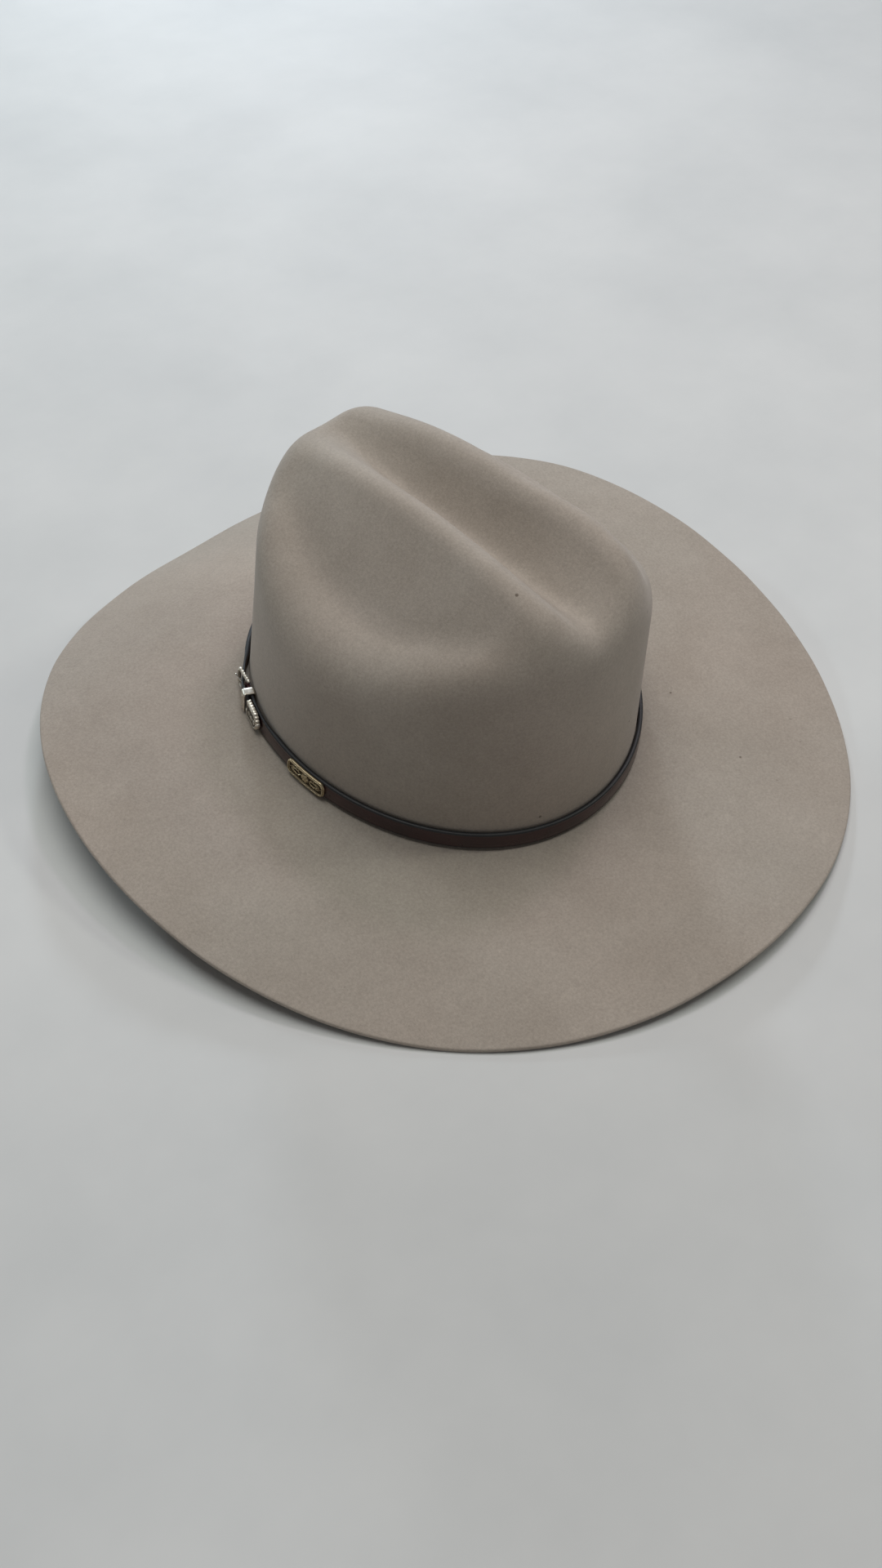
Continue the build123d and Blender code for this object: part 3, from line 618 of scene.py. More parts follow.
def lower_wall(w, th):
    """Crown wall between the brim break (w = 0) and the height where the crown's own shape starts (w = 1)."""
    H, n = oval(th, -BAND_OFF)
    z = (1 - w) * (root_z(th) + 4.5) + w * Z_SPLIT
    d = H / np.linalg.norm(H, axis=-1, keepdims=True)
    lo, hi = np.zeros_like(th) + 2.0, np.zeros_like(th) + 170.0
    for _ in range(40):
        m = (lo + hi) / 2
        f = crown_field(d[:, 0] * m, d[:, 1] * m, z)
        lo, hi = np.where(f < 0, m, lo), np.where(f < 0, hi, m)
    upper = np.concatenate([d * ((lo + hi) / 2)[:, None], z[:, None]], -1)
    lower = np.concatenate([H - n * (taper(th) * (z - root_z(th)))[:, None], z[:, None]], -1)
    b = float(smooth(0.1, 0.9, w))
    return lower * (1 - b) + upper * b, crown_normal(upper)


def make_felt(nth=540):
    th = np.arange(nth) * 2 * np.pi / nth
    outer, inner = [], []
    us = np.concatenate([np.linspace(1.985, 1.55, 60), np.linspace(1.543, 1.0, 72)])
    for i, u in enumerate(us):
        P = crown_ring(float(u), th)
        N = crown_normal(P)
        outer.append(uneven(P, N, 0.16 * min(1.0, max(0.0, (u - 0.95) / 0.25))))
        if i % 2 == 0:
            inner.append(P - N * CROWN_T)
    for i, w in enumerate(np.linspace(0.965, 0.0, 26)):
        P, N = lower_wall(w, th)
        outer.append(P)
        if i % 2:
            inner.append(P - N * CROWN_T)
    for deg in range(0, 91, 15):
        f = math.radians(deg)
        outer.append(wall_ring(ROOT_R * (1 - math.sin(f)), ROOT_R * (1 - math.cos(f)), th))
    for deg in range(0, 91, 15):
        f = math.radians(deg)
        t = CROWN_T + (BRIM_T - CROWN_T) * deg / 90
        H, n = oval(th, -BAND_OFF)
        P = H + n * (ROOT_R - (ROOT_R + t) * math.cos(f))
        inner.append(np.concatenate([P, (root_z(th) + ROOT_R - (ROOT_R + t) * math.sin(f))[:, None]], -1))
    ts = np.concatenate([np.linspace(0.045, 0.965, 56), [0.98, 0.99]])
    for i, t in enumerate(ts):
        P, N = brim_point(th, float(t))
        a = 0.22 * float(smooth(0.12, 0.5, t))
        P = uneven(P, N, a)
        outer.append(P)
        if i % 2 == 1 or i > 54:
            inner.append(P - N * BRIM_T)
    P, N = brim_point(th, 1.0)
    Q, _ = brim_point(th, 1.0 + 1e-3)
    P = uneven(P, N, 0.22)
    D = (Q - brim_point(th, 1.0)[0])
    D /= np.linalg.norm(D, axis=-1, keepdims=True)
    C = P - N * (BRIM_T / 2) - D * 0.9
    mid = []
    for deg in range(82, -83, -12):
        f = math.radians(deg)
        mid.append(C + D * (1.15 * math.cos(f) ** 0.8) + N * (BRIM_T / 2) * math.sin(f))
    zt = float(crown_top(0.0, 0.0))
    pile = Pile()
    pile.rings([row(r) for r in outer + mid + inner[::-1]], row((0, 0, zt)), row((0, 0, zt - CROWN_T)))
    ob = pile.make("felt_shell", [felt_material()])
    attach(ob, "hat")
    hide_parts("felt_body")
    return ob


# ------------------------------------------------------------------ sweatband
SWEAT_OFF, SWEAT_T, SWEAT_H = -4.0, 1.1, 58.0
BACK = math.pi


def make_sweatband():
    th = np.arange(480) * 2 * np.pi / 480
    a, b = SWEAT_OFF, SWEAT_OFF - SWEAT_T
    lo, hi = -1.1, SWEAT_H - 1.1
    wave = 0.10 * np.sin(th * 9 + 0.7) + 0.06 * np.sin(th * 23)

    def ring(k, n):
        k = np.asarray(k, float) + 0 * th
        H, nn = oval(th, -BAND_OFF)
        P = H + nn * (n - taper(th) * np.maximum(k, 0))[:, None]
        return np.concatenate([P, (root_z(th) + k)[:, None]], -1)
    rings = [ring(k, a) for k in (lo + 0.1, 2, 8, 16, 28, 40, 50)]
    m, r = (a + b) / 2, SWEAT_T / 2
    for k in (54, hi - 1.2):
        rings.append(ring(k, a))
    for deg in range(0, 181, 20):
        f = math.radians(deg)
        rings.append(ring(hi - r + r * math.sin(f), m + r * math.cos(f)))
    for k, groove in ((hi - 1.4, 0.0), (hi - 2.6, 0.0), (hi - 3.0, 0.14), (hi - 3.4, 0.16), (hi - 3.8, 0.14), (hi - 4.2, 0.0),
                      (50, 0), (44, 0), (38, 0), (32, 0), (26, 0), (20, 0), (14, 0), (9, 0), (6, 0), (4.6, 0), (3.0, 0), (1.6, 0.1), (0.4, 0)):
        w = wave * float(smooth(3, 25, k)) * float(smooth(56, 48, k)) if k < 54 else 0 * th
        rings.append(ring(k, b + groove + w))
    rings.append(ring(lo + 0.1, b))
    rings.append(ring(lo, b + 0.2))
    rings.append(ring(lo, a - 0.2))
    pile = Pile()
    pile.rings([row(q) for q in rings], closed=True)
    ob = pile.make("sweatband_leather", [leather_material("roan_leather", (0.235, 0.118, 0.058), (0.345, 0.185, 0.098), 0.5, 0.0009, 0.00006, 0.05)])
    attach(ob, "hat")
    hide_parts("sweatband")
    return ob


def make_stitches():
    """The row of stitches that joins the sweatband to its reed tape."""
    pile = Pile()
    n = SWEAT_OFF - SWEAT_T - 0.28
    count = 96
    for i in range(count):
        t = 2 * math.pi * (i + 0.5) / count
        if abs(math.degrees(t) - 180) < 7:
            continue
        d = 1.35 / 100.0
        q = np.linspace(-1, 1, 7)
        P = at(t + d * q, n + 0.16 * (q ** 4), 1.6 + 0.10 * q)
        pile.tube(P, 0.24 * (1 - 0.25 * q ** 2), row, seg=8, up=(0, 0, 1))
    ob = pile.make("sweatband_stitches", [thread_material("waxed_thread", (0.52, 0.42, 0.29), (0.66, 0.55, 0.40))])
    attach(ob, "hat")
    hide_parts("sweatband_stitching")
    return ob


def make_reed_tape():
    """Binding folded round the reed, drawn up slightly by its sewing."""
    th = np.arange(720) * 2 * np.pi / 720
    C = wall_ring(-2.6, -4.55, th)
    _, n = oval(th)
    N = np.concatenate([n, np.zeros((720, 1))], -1)
    Z = np.tile([0.0, 0.0, 1.0], (720, 1))
    outer, inner = Pile(), None
    outer.closed_tube(C, N, Z, 1.22, 16, lambda i, a: 1 + 0.022 * np.sin(i * 0.9 + a) * np.cos(a * 2) + 0.018 * math.sin(i * 2.3))
    ob = outer.make("reed_binding", [satin_material("binding_tape", (0.075, 0.055, 0.042), (0.105, 0.078, 0.060), 0.0005, 0.6)])
    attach(ob, "hat")
    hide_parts("reed_tape")
    return ob


def make_splice():
    """Leather tab over the back join of the sweatband, with a row of stitches down each side."""
    half, k0, k1 = 4.6, 0.5, 50.0
    n_back, n_face = SWEAT_OFF - SWEAT_T - 0.12, SWEAT_OFF - SWEAT_T - 0.92
    t = np.arange(160) / 160.0
    mid = (k0 + k1) / 2
    w = math.radians(half) * 101.0

    def loop(inset, n):
        xy = rrect(t, w - inset, (k1 - k0) / 2 - inset, max(2.4 - inset, 0.4))
        return row(at(math.pi + xy[:, 0] / 101.0, n, mid + xy[:, 1]))
    pile = Pile()
    rings = [loop(0.15, n_back), loop(0.0, n_back - 0.2), loop(0.0, n_face + 0.35), loop(0.12, n_face + 0.1), loop(0.4, n_face)]
    for s in (1.6, 1.9, 2.1, 2.4):
        rings.append(loop(s, n_face + (0.1 if 1.7 < s < 2.3 else 0.0)))
    rings += [loop(3.4, n_face - 0.02), loop(5.2, n_face - 0.03), loop(7.0, n_face - 0.03)]
    pile.rings(rings, cap=False, first=row(at(math.pi, n_back, mid)))
    xy = rrect(t, w - 7.0, (k1 - k0) / 2 - 7.0, 0.4)
    c = [row(at(math.pi + xy[:, 0] * f / 101.0, n_face - 0.03, mid + xy[:, 1] * (0.72 + 0.28 * f))) for f in (1.0, 0.5)]
    line = row(at(math.pi, n_face - 0.03, mid + xy[:, 1] * 0.72))
    pile.rings([c[0], c[1]], last=None)
    pile.rings([c[1], line])
    ob = pile.make("sweatband_tab", [leather_material("tab_leather", (0.205, 0.10, 0.048), (0.30, 0.155, 0.08), 0.46, 0.0008, 0.00006, 0.08)])
    bm = bmesh.new()
    bm.from_mesh(ob.data)
    bmesh.ops.remove_doubles(bm, verts=bm.verts, dist=1e-5)
    bmesh.ops.holes_fill(bm, edges=[e for e in bm.edges if e.is_boundary], sides=0)
    bmesh.ops.recalc_face_normals(bm, faces=bm.faces)
    bm.to_mesh(ob.data)
    bm.free()
    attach(ob, "hat")
    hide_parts("sweatband_splice")
    rows_ = Pile()
    for side in (-1, 1):
        for k in np.arange(4.0, 47.5, 3.1):
            q = np.linspace(-1, 1, 5)
            x = math.pi + side * (w - 2.0) / 101.0
            P = at(np.full(5, x), n_face - 0.02 + 0.10 * q ** 4, k + 1.0 * q)
            rows_.tube(P, 0.17 * (1 - 0.2 * q ** 2), row, seg=8, up=(0, 1, 0))
    st = rows_.make("sweatband_tab_stitches", [thread_material("tab_thread", (0.50, 0.40, 0.27), (0.62, 0.50, 0.36))])
    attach(st, "hat")
    return ob


def make_bow():
    """Small ribbon bow at the back of the sweatband: one band in a figure of eight and its knot."""
    y0 = float(at(math.pi, -7.75, 0)[1])
    z0 = float(root_z(np.array(math.pi))) + 6.0
    m = 160
    t = np.arange(m) * 2 * np.pi / m
    x = 10.9 * np.sin(t)
    yy = 0.95 * np.sin(2 * t) * (0.8 + 0.2 * np.abs(np.sin(t)))
    v = np.linspace(-1, 1, 13)
    half = 1.9 + 2.6 * smooth(0.6, 7.0, np.abs(x))
    verts = []
    for i in range(m):
        crumple = 0.12 * np.sin(v * 9 + 3 * np.sign(x[i])) * (1 - min(abs(x[i]) / 9, 1.0))
        verts.append(np.stack([np.full(13, x[i]) + 0.25 * (1 - v ** 2) * np.sign(x[i]) * min(abs(x[i]) / 10.9, 1) ** 4,
                               y0 + yy[i] + crumple, z0 + half[i] * v + 0.2 * np.sign(x[i])], -1))
    V = row(np.array(verts)).reshape(-1, 3)
    faces = []
    for i in range(m):
        for j in range(12):
            a, b = i * 13 + j, ((i + 1) % m) * 13 + j
            faces.append((a, b, b + 1, a + 1))
    ob = mesh_object("sweatband_ribbon", V, faces)
    ob.data.materials.append(satin_material("bow_satin", (0.105, 0.07, 0.052), (0.15, 0.105, 0.08), 0.0003, 0.36))
    s = ob.modifiers.new("thick", "SOLIDIFY")
    s.thickness, s.offset = 0.00018, 0.0
    pile = Pile()
    tt = np.arange(40) / 40.0
    rings = []
    for z, g in ((-2.15, 0.80), (-1.9, 0.93), (-1.2, 1.0), (0, 0.97), (1.2, 1.0), (1.9, 0.93), (2.15, 0.80)):
        p = rrect(tt, 2.0 * g, 1.3 * g, 0.8 * g)
        fold = 1 + 0.05 * np.sin(tt * 2 * math.pi * 9)
        rings.append(row(np.stack([p[:, 0] * fold, y0 + p[:, 1] * fold, np.full(40, z0 + z)], -1)))
    pile.rings(rings, cap=True)
    knot = pile.make("sweatband_ribbon_knot", [satin_material("knot_satin", (0.105, 0.07, 0.052), (0.15, 0.105, 0.08), 0.0003, 0.38)])
    for o in (ob, knot):
        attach(o, "hat")
    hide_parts("sweatband_bow")
    return ob


# ------------------------------------------------------------------ lining
LINER_T = 0.4
LINER = dict(inset=2.6, ridge=0.8, drop=5.0)
LINER_IN = dict(inset=2.6 + LINER_T, ridge=0.8, drop=5.5)
SEAM_U, LINER_LOW = 1.23, 12.0


def make_liner():
    nth, pleats = 1080, 90
    th = np.arange(nth) * 2 * np.pi / nth
    ph = th * pleats + 1.4 * np.sin(th * 7) + 0.9 * np.sin(th * 17 + 1)
    fold = (0.5 + 0.5 * np.cos(ph + 0.55 * np.sin(ph))) ** 1.4

    def amount(u):
        return 1.5 * float(smooth(0.99, 1.14, u)) * float(smooth(SEAM_U + 0.004, SEAM_U - 0.05, u)) + 0.55 * float(smooth(1.05, 1.2, u))
    out = [wall_ring(k, -2.6, th) for k in (LINER_LOW, 20, 30, 42)]
    inn = [wall_ring(k, -3.0, th) for k in (LINER_LOW, 20, 30, 42)]
    for u in (0.78, 0.88, 0.96, 0.99, 1.01, 1.03, 1.05, 1.07, 1.09, 1.11, 1.13, 1.15, 1.17, 1.185, 1.2, 1.21, SEAM_U - 0.012):
        P = crown_ring(u, th, **LINER_IN)
        N = crown_normal(P, **LINER_IN)
        a = amount(u)
        inn.append(P - N * (a * fold)[:, None])
        out.append(P - N * (a * fold)[:, None] + N * 0.3)
    pile = Pile()
    pile.rings([row(r) for r in out + inn[::-1]], closed=True)
    ob = pile.make("liner_side_panel", [satin_material("lining_satin", (0.50, 0.44, 0.36), (0.60, 0.54, 0.46), 0.0004, 0.34)])
    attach(ob, "hat")
    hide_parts("liner_side")

    n2 = 540
    th2 = np.arange(n2) * 2 * np.pi / n2
    pk = 0.5 + 0.5 * np.cos(th2 * 90 + 1.4 * np.sin(th2 * 7))
    out, inn = [], []
    for u in np.concatenate([[SEAM_U + 0.012, 1.25, 1.262, 1.275, 1.29], np.linspace(1.31, 1.97, 34)]):
        P = crown_ring(float(u), th2, **LINER_IN)
        N = crown_normal(P, **LINER_IN)
        a = 0.32 * float(smooth(1.31, 1.245, u))
        soft = 0.35 * np.sin(P[:, 0] / 9.0 + P[:, 1] / 14.0) * np.sin(P[:, 1] / 11.0 + 0.8) * float(smooth(1.25, 1.4, u)) + 0.2 * float(smooth(1.25, 1.4, u))
        inn.append(P - N * (a * pk + soft)[:, None])
        out.append(P - N * (a * pk + soft)[:, None] + N * 0.3)
    zi = float(crown_top(0.0, 0.0, 0.8, 5.5))
    pile = Pile()
    pile.rings([row(r) for r in inn[::-1] + out], row((0, 0, zi - 0.2)), row((0, 0, zi + 0.1)))
    tip = pile.make("liner_tip_panel", [satin_material("lining_tip_satin", (0.50, 0.44, 0.36), (0.60, 0.54, 0.46), 0.0004, 0.32)])
    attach(tip, "hat")
    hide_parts("liner_tip")

    n3 = 900
    th3 = np.arange(n3) * 2 * np.pi / n3
    C = crown_ring(SEAM_U, th3, **LINER_IN)
    N = crown_normal(C, **LINER_IN)
    T = np.roll(C, -1, 0) - np.roll(C, 1, 0)
    T /= np.linalg.norm(T, axis=1, keepdims=True)
    S = np.cross(T, N)
    pile = Pile()
    pile.closed_tube(C - N * 1.0, N, S, 0.78, 14, lambda i, a: 1 + 0.045 * np.sin(a * 2 + i * 2 * math.pi * 6 / 50))
    cord = pile.make("liner_seam_piping", [satin_material("piping_satin", (0.40, 0.33, 0.25), (0.50, 0.42, 0.33), 0.0003, 0.38)])
    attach(cord, "hat")
    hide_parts("liner_piping")

    n4 = 360
    th4 = np.arange(n4) * 2 * np.pi / n4
    A = dict(inset=3.6, ridge=0.8, drop=6.3)
    B = dict(inset=3.9, ridge=0.8, drop=6.7)
    ua = np.linspace(1.5, 1.96, 22)
    outr = [crown_ring(float(u), th4, **A) for u in ua[::-1]]
    innr = [crown_ring(float(u), th4, **B) for u in ua]
    rim = (crown_ring(1.492, th4, **A) + crown_ring(1.492, th4, **B)) / 2
    zo, zi = float(crown_top(0.0, 0.0, 0.8, 6.3)), float(crown_top(0.0, 0.0, 0.8, 6.7))
    pile = Pile()
    pile.rings([row(r) - np.array([0, 0, 0.0004]) for r in outr + [rim] + innr], row((0, 0, zo - 0.4)), row((0, 0, zi - 0.4)))
    film = pile.make("liner_clear_shield", [plastic_material("clear_film", (0.88, 0.88, 0.87), (0.93, 0.93, 0.92), 0.02, 0.93)])
    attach(film, "hat")
    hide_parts("liner_shield")
    return ob




# ------------------------------------------------------------------ hatband strap
BILLET = [(-14.0, 0.35, 2.85, 4.7), (-11.0, 0.55, 2.75, 4.55), (-8.0, 1.1, 2.9, 4.2), (-5.0, 1.7, 3.2, 3.9),
          (-2.5, 2.1, 3.5, 3.9), (0.0, 2.4, 3.8, 3.9), (3.0, 2.85, 4.25, 3.9), (6.0, 3.35, 4.75, 3.9), (8.5, 3.8, 5.2, 3.9),
          (11.0, 4.2, 5.6, 3.9), (13.5, 4.0, 5.4, 3.9), (16.0, 3.6, 5.0, 3.9), (19.0, 3.6, 5.0, 3.9), (22.0, 3.9, 5.2, 3.9),
          (23.2, 4.0, 5.2, 3.9), (25.6, 4.0, 5.2, 3.9)]


def strap_profile(n0, n1, h):
    """One section of the strap, (n, k) pairs: 0-11 face, 12-16 top edge, 17-22 back, 23-27 bottom edge."""
    t = n1 - n0
    r, q = min(0.42 * t, 0.95), 0.28 * t
    pts = []
    for k in np.linspace(-1, 1, 12):
        kk = k * (h - r)
        # a shallow crease line runs inside each edge of the face
        crease = 0.13 * math.exp(-((abs(kk) - (h - r - 0.75)) / 0.22) ** 2) if t > 2 else 0.0
        pts.append((n1 + 0.12 * (1 - k * k) - 0.06 - crease, kk))
    for a in (18, 42, 66, 90):
        f = math.radians(a)
        pts.append((n1 - r + r * math.cos(f), h - r + r * math.sin(f)))
    pts.append((n0 + q, h))
    pts.append((n0 + 0.08, h - q))
    for k in np.linspace(1, -1, 4):
        pts.append((n0, k * (h - q - 0.25)))
    pts.append((n0 + 0.08, -h + q))
    pts.append((n0 + q, -h))
    for a in (90, 66, 42, 18):
        f = math.radians(a)
        pts.append((n1 - r + r * math.cos(f), -(h - r + r * math.sin(f))))
    return pts


def make_strap():
    secs = []
    for s in np.arange(14.5, 38.6, 1.0):
        secs.append((th_at(s), 1.4, 3.0, 4.7))
    th0 = float(th_at(38.5))
    for q in np.linspace(0.06, 1.0, 14):
        w = float(smooth01(q))
        secs.append((th0 + q * math.radians(8), 1.4 + (0.35 - 1.4) * w, 3.0 + (2.85 - 3.0) * w, 4.7))
    a, b = th0 + math.radians(8), 2 * math.pi + float(th_at(-14.0))
    for i in range(1, 280):
        secs.append((a + (b - a) * i / 280, 0.35, 2.85, 4.7))
    ss = np.concatenate([np.arange(-14.0, 25.0, 0.55), [25.2, 25.45]])
    for s in ss:
        n0, n1, h = (float(knots([(r[0], r[j]) for r in BILLET], s)) for j in (1, 2, 3))
        secs.append((2 * math.pi + float(th_at(s)), n0, n1, h))
    rings = []
    for th, n0, n1, h in secs:
        p = np.array(strap_profile(n0, n1, h))
        rings.append(row(at(th, p[:, 0], STRAP_MID + p[:, 1])))
    pile = Pile()
    n = len(rings[0])
    pile.rings(rings, cap=True)
    by = [0] * 11 + [1] * 6 + [2] * 3 + [1] * (n - 20)
    m = len(rings)
    pile.mat = [by[f % n] for f in range((m - 1) * n)] + [1] * (2 * n)
    ob = pile.make("hatband_leather", [
        leather_material("oxblood_face", (0.021, 0.0055, 0.0075), (0.046, 0.0115, 0.0130), 0.30, 0.0006, 0.00004, 0.35),
        leather_material("burnished_edge", (0.010, 0.011, 0.013), (0.024, 0.024, 0.027), 0.46, 0.0004, 0.00002, 0.05),
        leather_material("flesh_back", (0.10, 0.062, 0.036), (0.155, 0.10, 0.062), 0.75, 0.0005, 0.00008, 0.0)])
    loc = Local(th_at(7.5), 4.0)
    cut = Pile()
    t = np.arange(32) / 32.0
    p = rrect(t, 4.6, 1.08, 0.45)
    cut.rings([loc(np.stack([p[:, 0], np.full(32, y), p[:, 1]], -1)) for y in (-3.0, 3.0)], cap=True)
    boolean(ob, cut.make("cutter"))
    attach(ob, "hatband")
    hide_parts("hatband_strap")
    return ob


# ------------------------------------------------------------------ buckle set
def sweep(pile, path, widths, profile, place, closed=False, up=None):
    """Sweeps profile(i) -> (across, out) pairs along a flat path of (x, z) points; y is minus out."""
    path = np.asarray(path, float)
    if closed:
        T = np.roll(path, -1, 0) - np.roll(path, 1, 0)
    else:
        T = np.gradient(path, axis=0)
    T /= np.linalg.norm(T, axis=1, keepdims=True)
    N = np.stack([T[:, 1], -T[:, 0]], -1)
    rings = []
    for i in range(len(path)):
        pr = np.asarray(profile(i), float)
        p = path[i] + N[i] * pr[:, 0:1] * widths
        rings.append(place(np.stack([p[:, 0], -pr[:, 1], p[:, 1]], -1)))
    pile.rings(rings, closed=closed, cap=not closed)


def arc_length(path, closed=False):
    d = np.linalg.norm(np.diff(np.asarray(path, float), axis=0), axis=1)
    return np.concatenate([[0], np.cumsum(d)])


def every(path, step, closed=False):
    """Points spaced evenly along a line, with their directions."""
    path = np.asarray(path, float)
    if closed:
        path = np.concatenate([path, path[:1]])
    L = arc_length(path)
    count = max(2, int(round(L[-1] / step)))
    at_ = np.linspace(0, L[-1], count + (0 if closed else 1), endpoint=not closed)
    return np.stack([np.interp(at_, L, path[:, k]) for k in range(path.shape[1])], -1)


def make_buckle():
    loc = Local(th_at(11.0), 2.3, tilt=math.atan2(2.5, 11.0))
    path = [(1.25 - 10.25 * i / 40, -4.95) for i in range(40)]
    for a in np.linspace(0, 90, 15):
        f = math.radians(a)
        path.append((-9.0 - 1.95 * math.sin(f), -3.0 - 1.95 * math.cos(f)))
    path += [(-10.95, z) for z in np.linspace(-2.9, 2.9, 36)[1:-1]]
    for a in np.linspace(0, 90, 15):
        f = math.radians(a)
        path.append((-9.0 - 1.95 * math.cos(f), 3.0 + 1.95 * math.sin(f)))
    path += [(-9.0 + 10.25 * i / 40, 4.95) for i in range(1, 41)]
    path = every(path, 0.16)
    L = arc_length(path)
    lobes = 2 * math.pi / 1.8

    def profile(i):
        s = 0.45 * abs(math.sin(L[i] * lobes / 2)) ** 0.8      # scalloped outside edge
        w1, w0 = 0.56 + s, 0.58
        return [(-w0, -0.62), (-w0, 0.42), (-w0 + 0.14, 0.60), (-w0 + 0.34, 0.66), (-0.05, 0.74), (0.18, 0.72),
                (w1 - 0.34, 0.58), (w1 - 0.10, 0.44), (w1, 0.2), (w1, -0.4), (w1 - 0.12, -0.66), (-w0 + 0.1, -0.72)]
    pile = Pile()
    sweep(pile, path, -1.0, profile, loc)
    beads = every(path, 0.98)
    for x, z in beads[1:-1]:
        pile.ball((x, -0.72, z), 0.33, loc, (1, 0.85, 1), 10)
    # a raised leaf on the far rail
    for side in (-1, 1):
        q = np.linspace(0, 1, 16)
        pts = np.stack([-10.95 + 0.35 * np.sin(q * math.pi), np.full(16, -0.92), side * (0.2 + 2.3 * q)], -1)
        pile.tube(pts, 0.2 * np.sin(q * math.pi) + 0.1, loc, 8)
    ob = pile.make("buckle_frame_cast", [metal_material("silver_cast", (0.88, 0.83, 0.74), (0.66, 0.60, 0.51), 0.30, (0.035, 0.03, 0.025))])
    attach(ob, "buckle")
    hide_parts("buckle_frame")
    return ob


def make_tongue():
    a = math.atan2(6.35 - 2.3, 11.0)
    loc = Local(th_at(11.0), 2.3, tilt=a)
    pile = Pile()
    f = np.arange(32) * 2 * math.pi / 32
    rings = []
    for r, z in ((0.76, -0.8), (1.12, -0.85), (1.2, -0.72), (1.2, 0.72), (1.12, 0.85), (0.76, 0.8)):
        rings.append(loc(np.stack([r * np.cos(f), r * np.sin(f), np.full(32, z)], -1)))
    pile.rings(rings, closed=True)
    L = 11.9 / math.cos(a)
    x = np.linspace(-0.95, -(L - 0.45), 30)
    q = (x - x[0]) / (x[-1] - x[0])
    y = -0.10 * np.sin(q * math.pi)
    pile.tube(np.stack([x, y, 0 * x], -1), 0.49 - 0.07 * q + 0.04 * np.exp(-((q - 0.92) / 0.05) ** 2), loc, 14, up=(0, 0, 1))
    ob = pile.make("buckle_tongue_pin", [metal_material("tongue_silver", (0.88, 0.84, 0.76), (0.72, 0.67, 0.58), 0.2)])
    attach(ob, "tongue")
    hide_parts("buckle_tongue")
    return ob


def make_keeper():
    loc = Local(th_at(18.4), 0.0)
    m = 260
    t = np.arange(m) / m
    cy = -(0.35 + 6.5) / 2
    wy = -(1.05 + 5.55) / 2

    def ring(hz, hy, r, y0, x, scallop=0.0, dome=0.0):
        p = rrect(t, hz, hy, r)                   # p[:,0] along z, p[:,1] along -y (out)
        out = smooth(0.55, 0.98, p[:, 1] / hy)    # 1 on the face
        lobe = np.abs(np.sin(p[:, 0] * math.pi / 1.93)) ** 0.8
        xx = x * (1 + out * scallop * lobe)
        yy = y0 - p[:, 1] - dome * out * (1 - (p[:, 0] / hz) ** 2)
        return loc(np.stack([xx, yy, p[:, 0]], -1))
    rings = [ring(5.0, 2.25, 0.35, wy, 2.15), ring(5.05, 2.3, 0.4, wy, 2.27), ring(5.4, 2.72, 0.9, cy + 0.05, 2.3, 0.16),
             ring(5.7, 2.98, 1.1, cy, 2.18, 0.20, 0.08), ring(5.78, 3.06, 1.2, cy, 1.9, 0.08, 0.14), ring(5.8, 3.07, 1.2, cy, 1.2, 0, 0.22),
             ring(5.8, 3.07, 1.2, cy, 0.0, 0, 0.27)]
    mirrored = [ring(5.8, 3.07, 1.2, cy, -1.2, 0, 0.22), ring(5.78, 3.06, 1.2, cy, -1.9, 0.08, 0.14), ring(5.7, 2.98, 1.1, cy, -2.18, 0.20, 0.08),
                ring(5.4, 2.72, 0.9, cy + 0.05, -2.3, 0.16), ring(5.05, 2.3, 0.4, wy, -2.27), ring(5.0, 2.25, 0.35, wy, -2.15), ring(5.0, 2.25, 0.35, wy, 0.0)]
    pile = Pile()
    pile.rings(rings + mirrored, closed=True)
    for side in (-1, 1):
        for z in np.arange(-4.4, 4.5, 0.88):
            pile.ball((side * 1.78, -6.58, z), 0.30, loc, (1, 0.8, 1), 10)
    ornament(pile, loc, lambda x, z: -6.72 - 0.05 * math.cos(z / 4), 3.6, 1.0)
    ob = pile.make("keeper_cast", [metal_material("keeper_silver", (0.88, 0.83, 0.74), (0.66, 0.60, 0.51), 0.30, (0.035, 0.03, 0.025))])
    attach(ob, "keeper")
    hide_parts("keeper_loop")
    return ob


def scroll(side, flip, length, height, turns=1.15):
    """A plain spiral leaf scroll as points (along, across), starting near the middle."""
    q = np.linspace(0, 1, 34)
    lead = np.stack([0.35 + (length - 1.0) * q[:17] * 2 * 0.5 * 1.0, flip * height * 0.42 * np.sin(q[:17] * 2 * math.pi * 0.5)], -1)
    c = np.array([length - height * 0.55, flip * height * 0.10])
    r = height * 0.52 * (1 - 0.72 * q)
    a = math.pi * 0.55 - turns * 2 * math.pi * q
    spiral = c + np.stack([r * np.cos(a), flip * r * np.sin(a)], -1)
    pts = np.concatenate([lead[:-3], spiral])
    pts[:, 0] *= side
    return every(pts, 0.16)


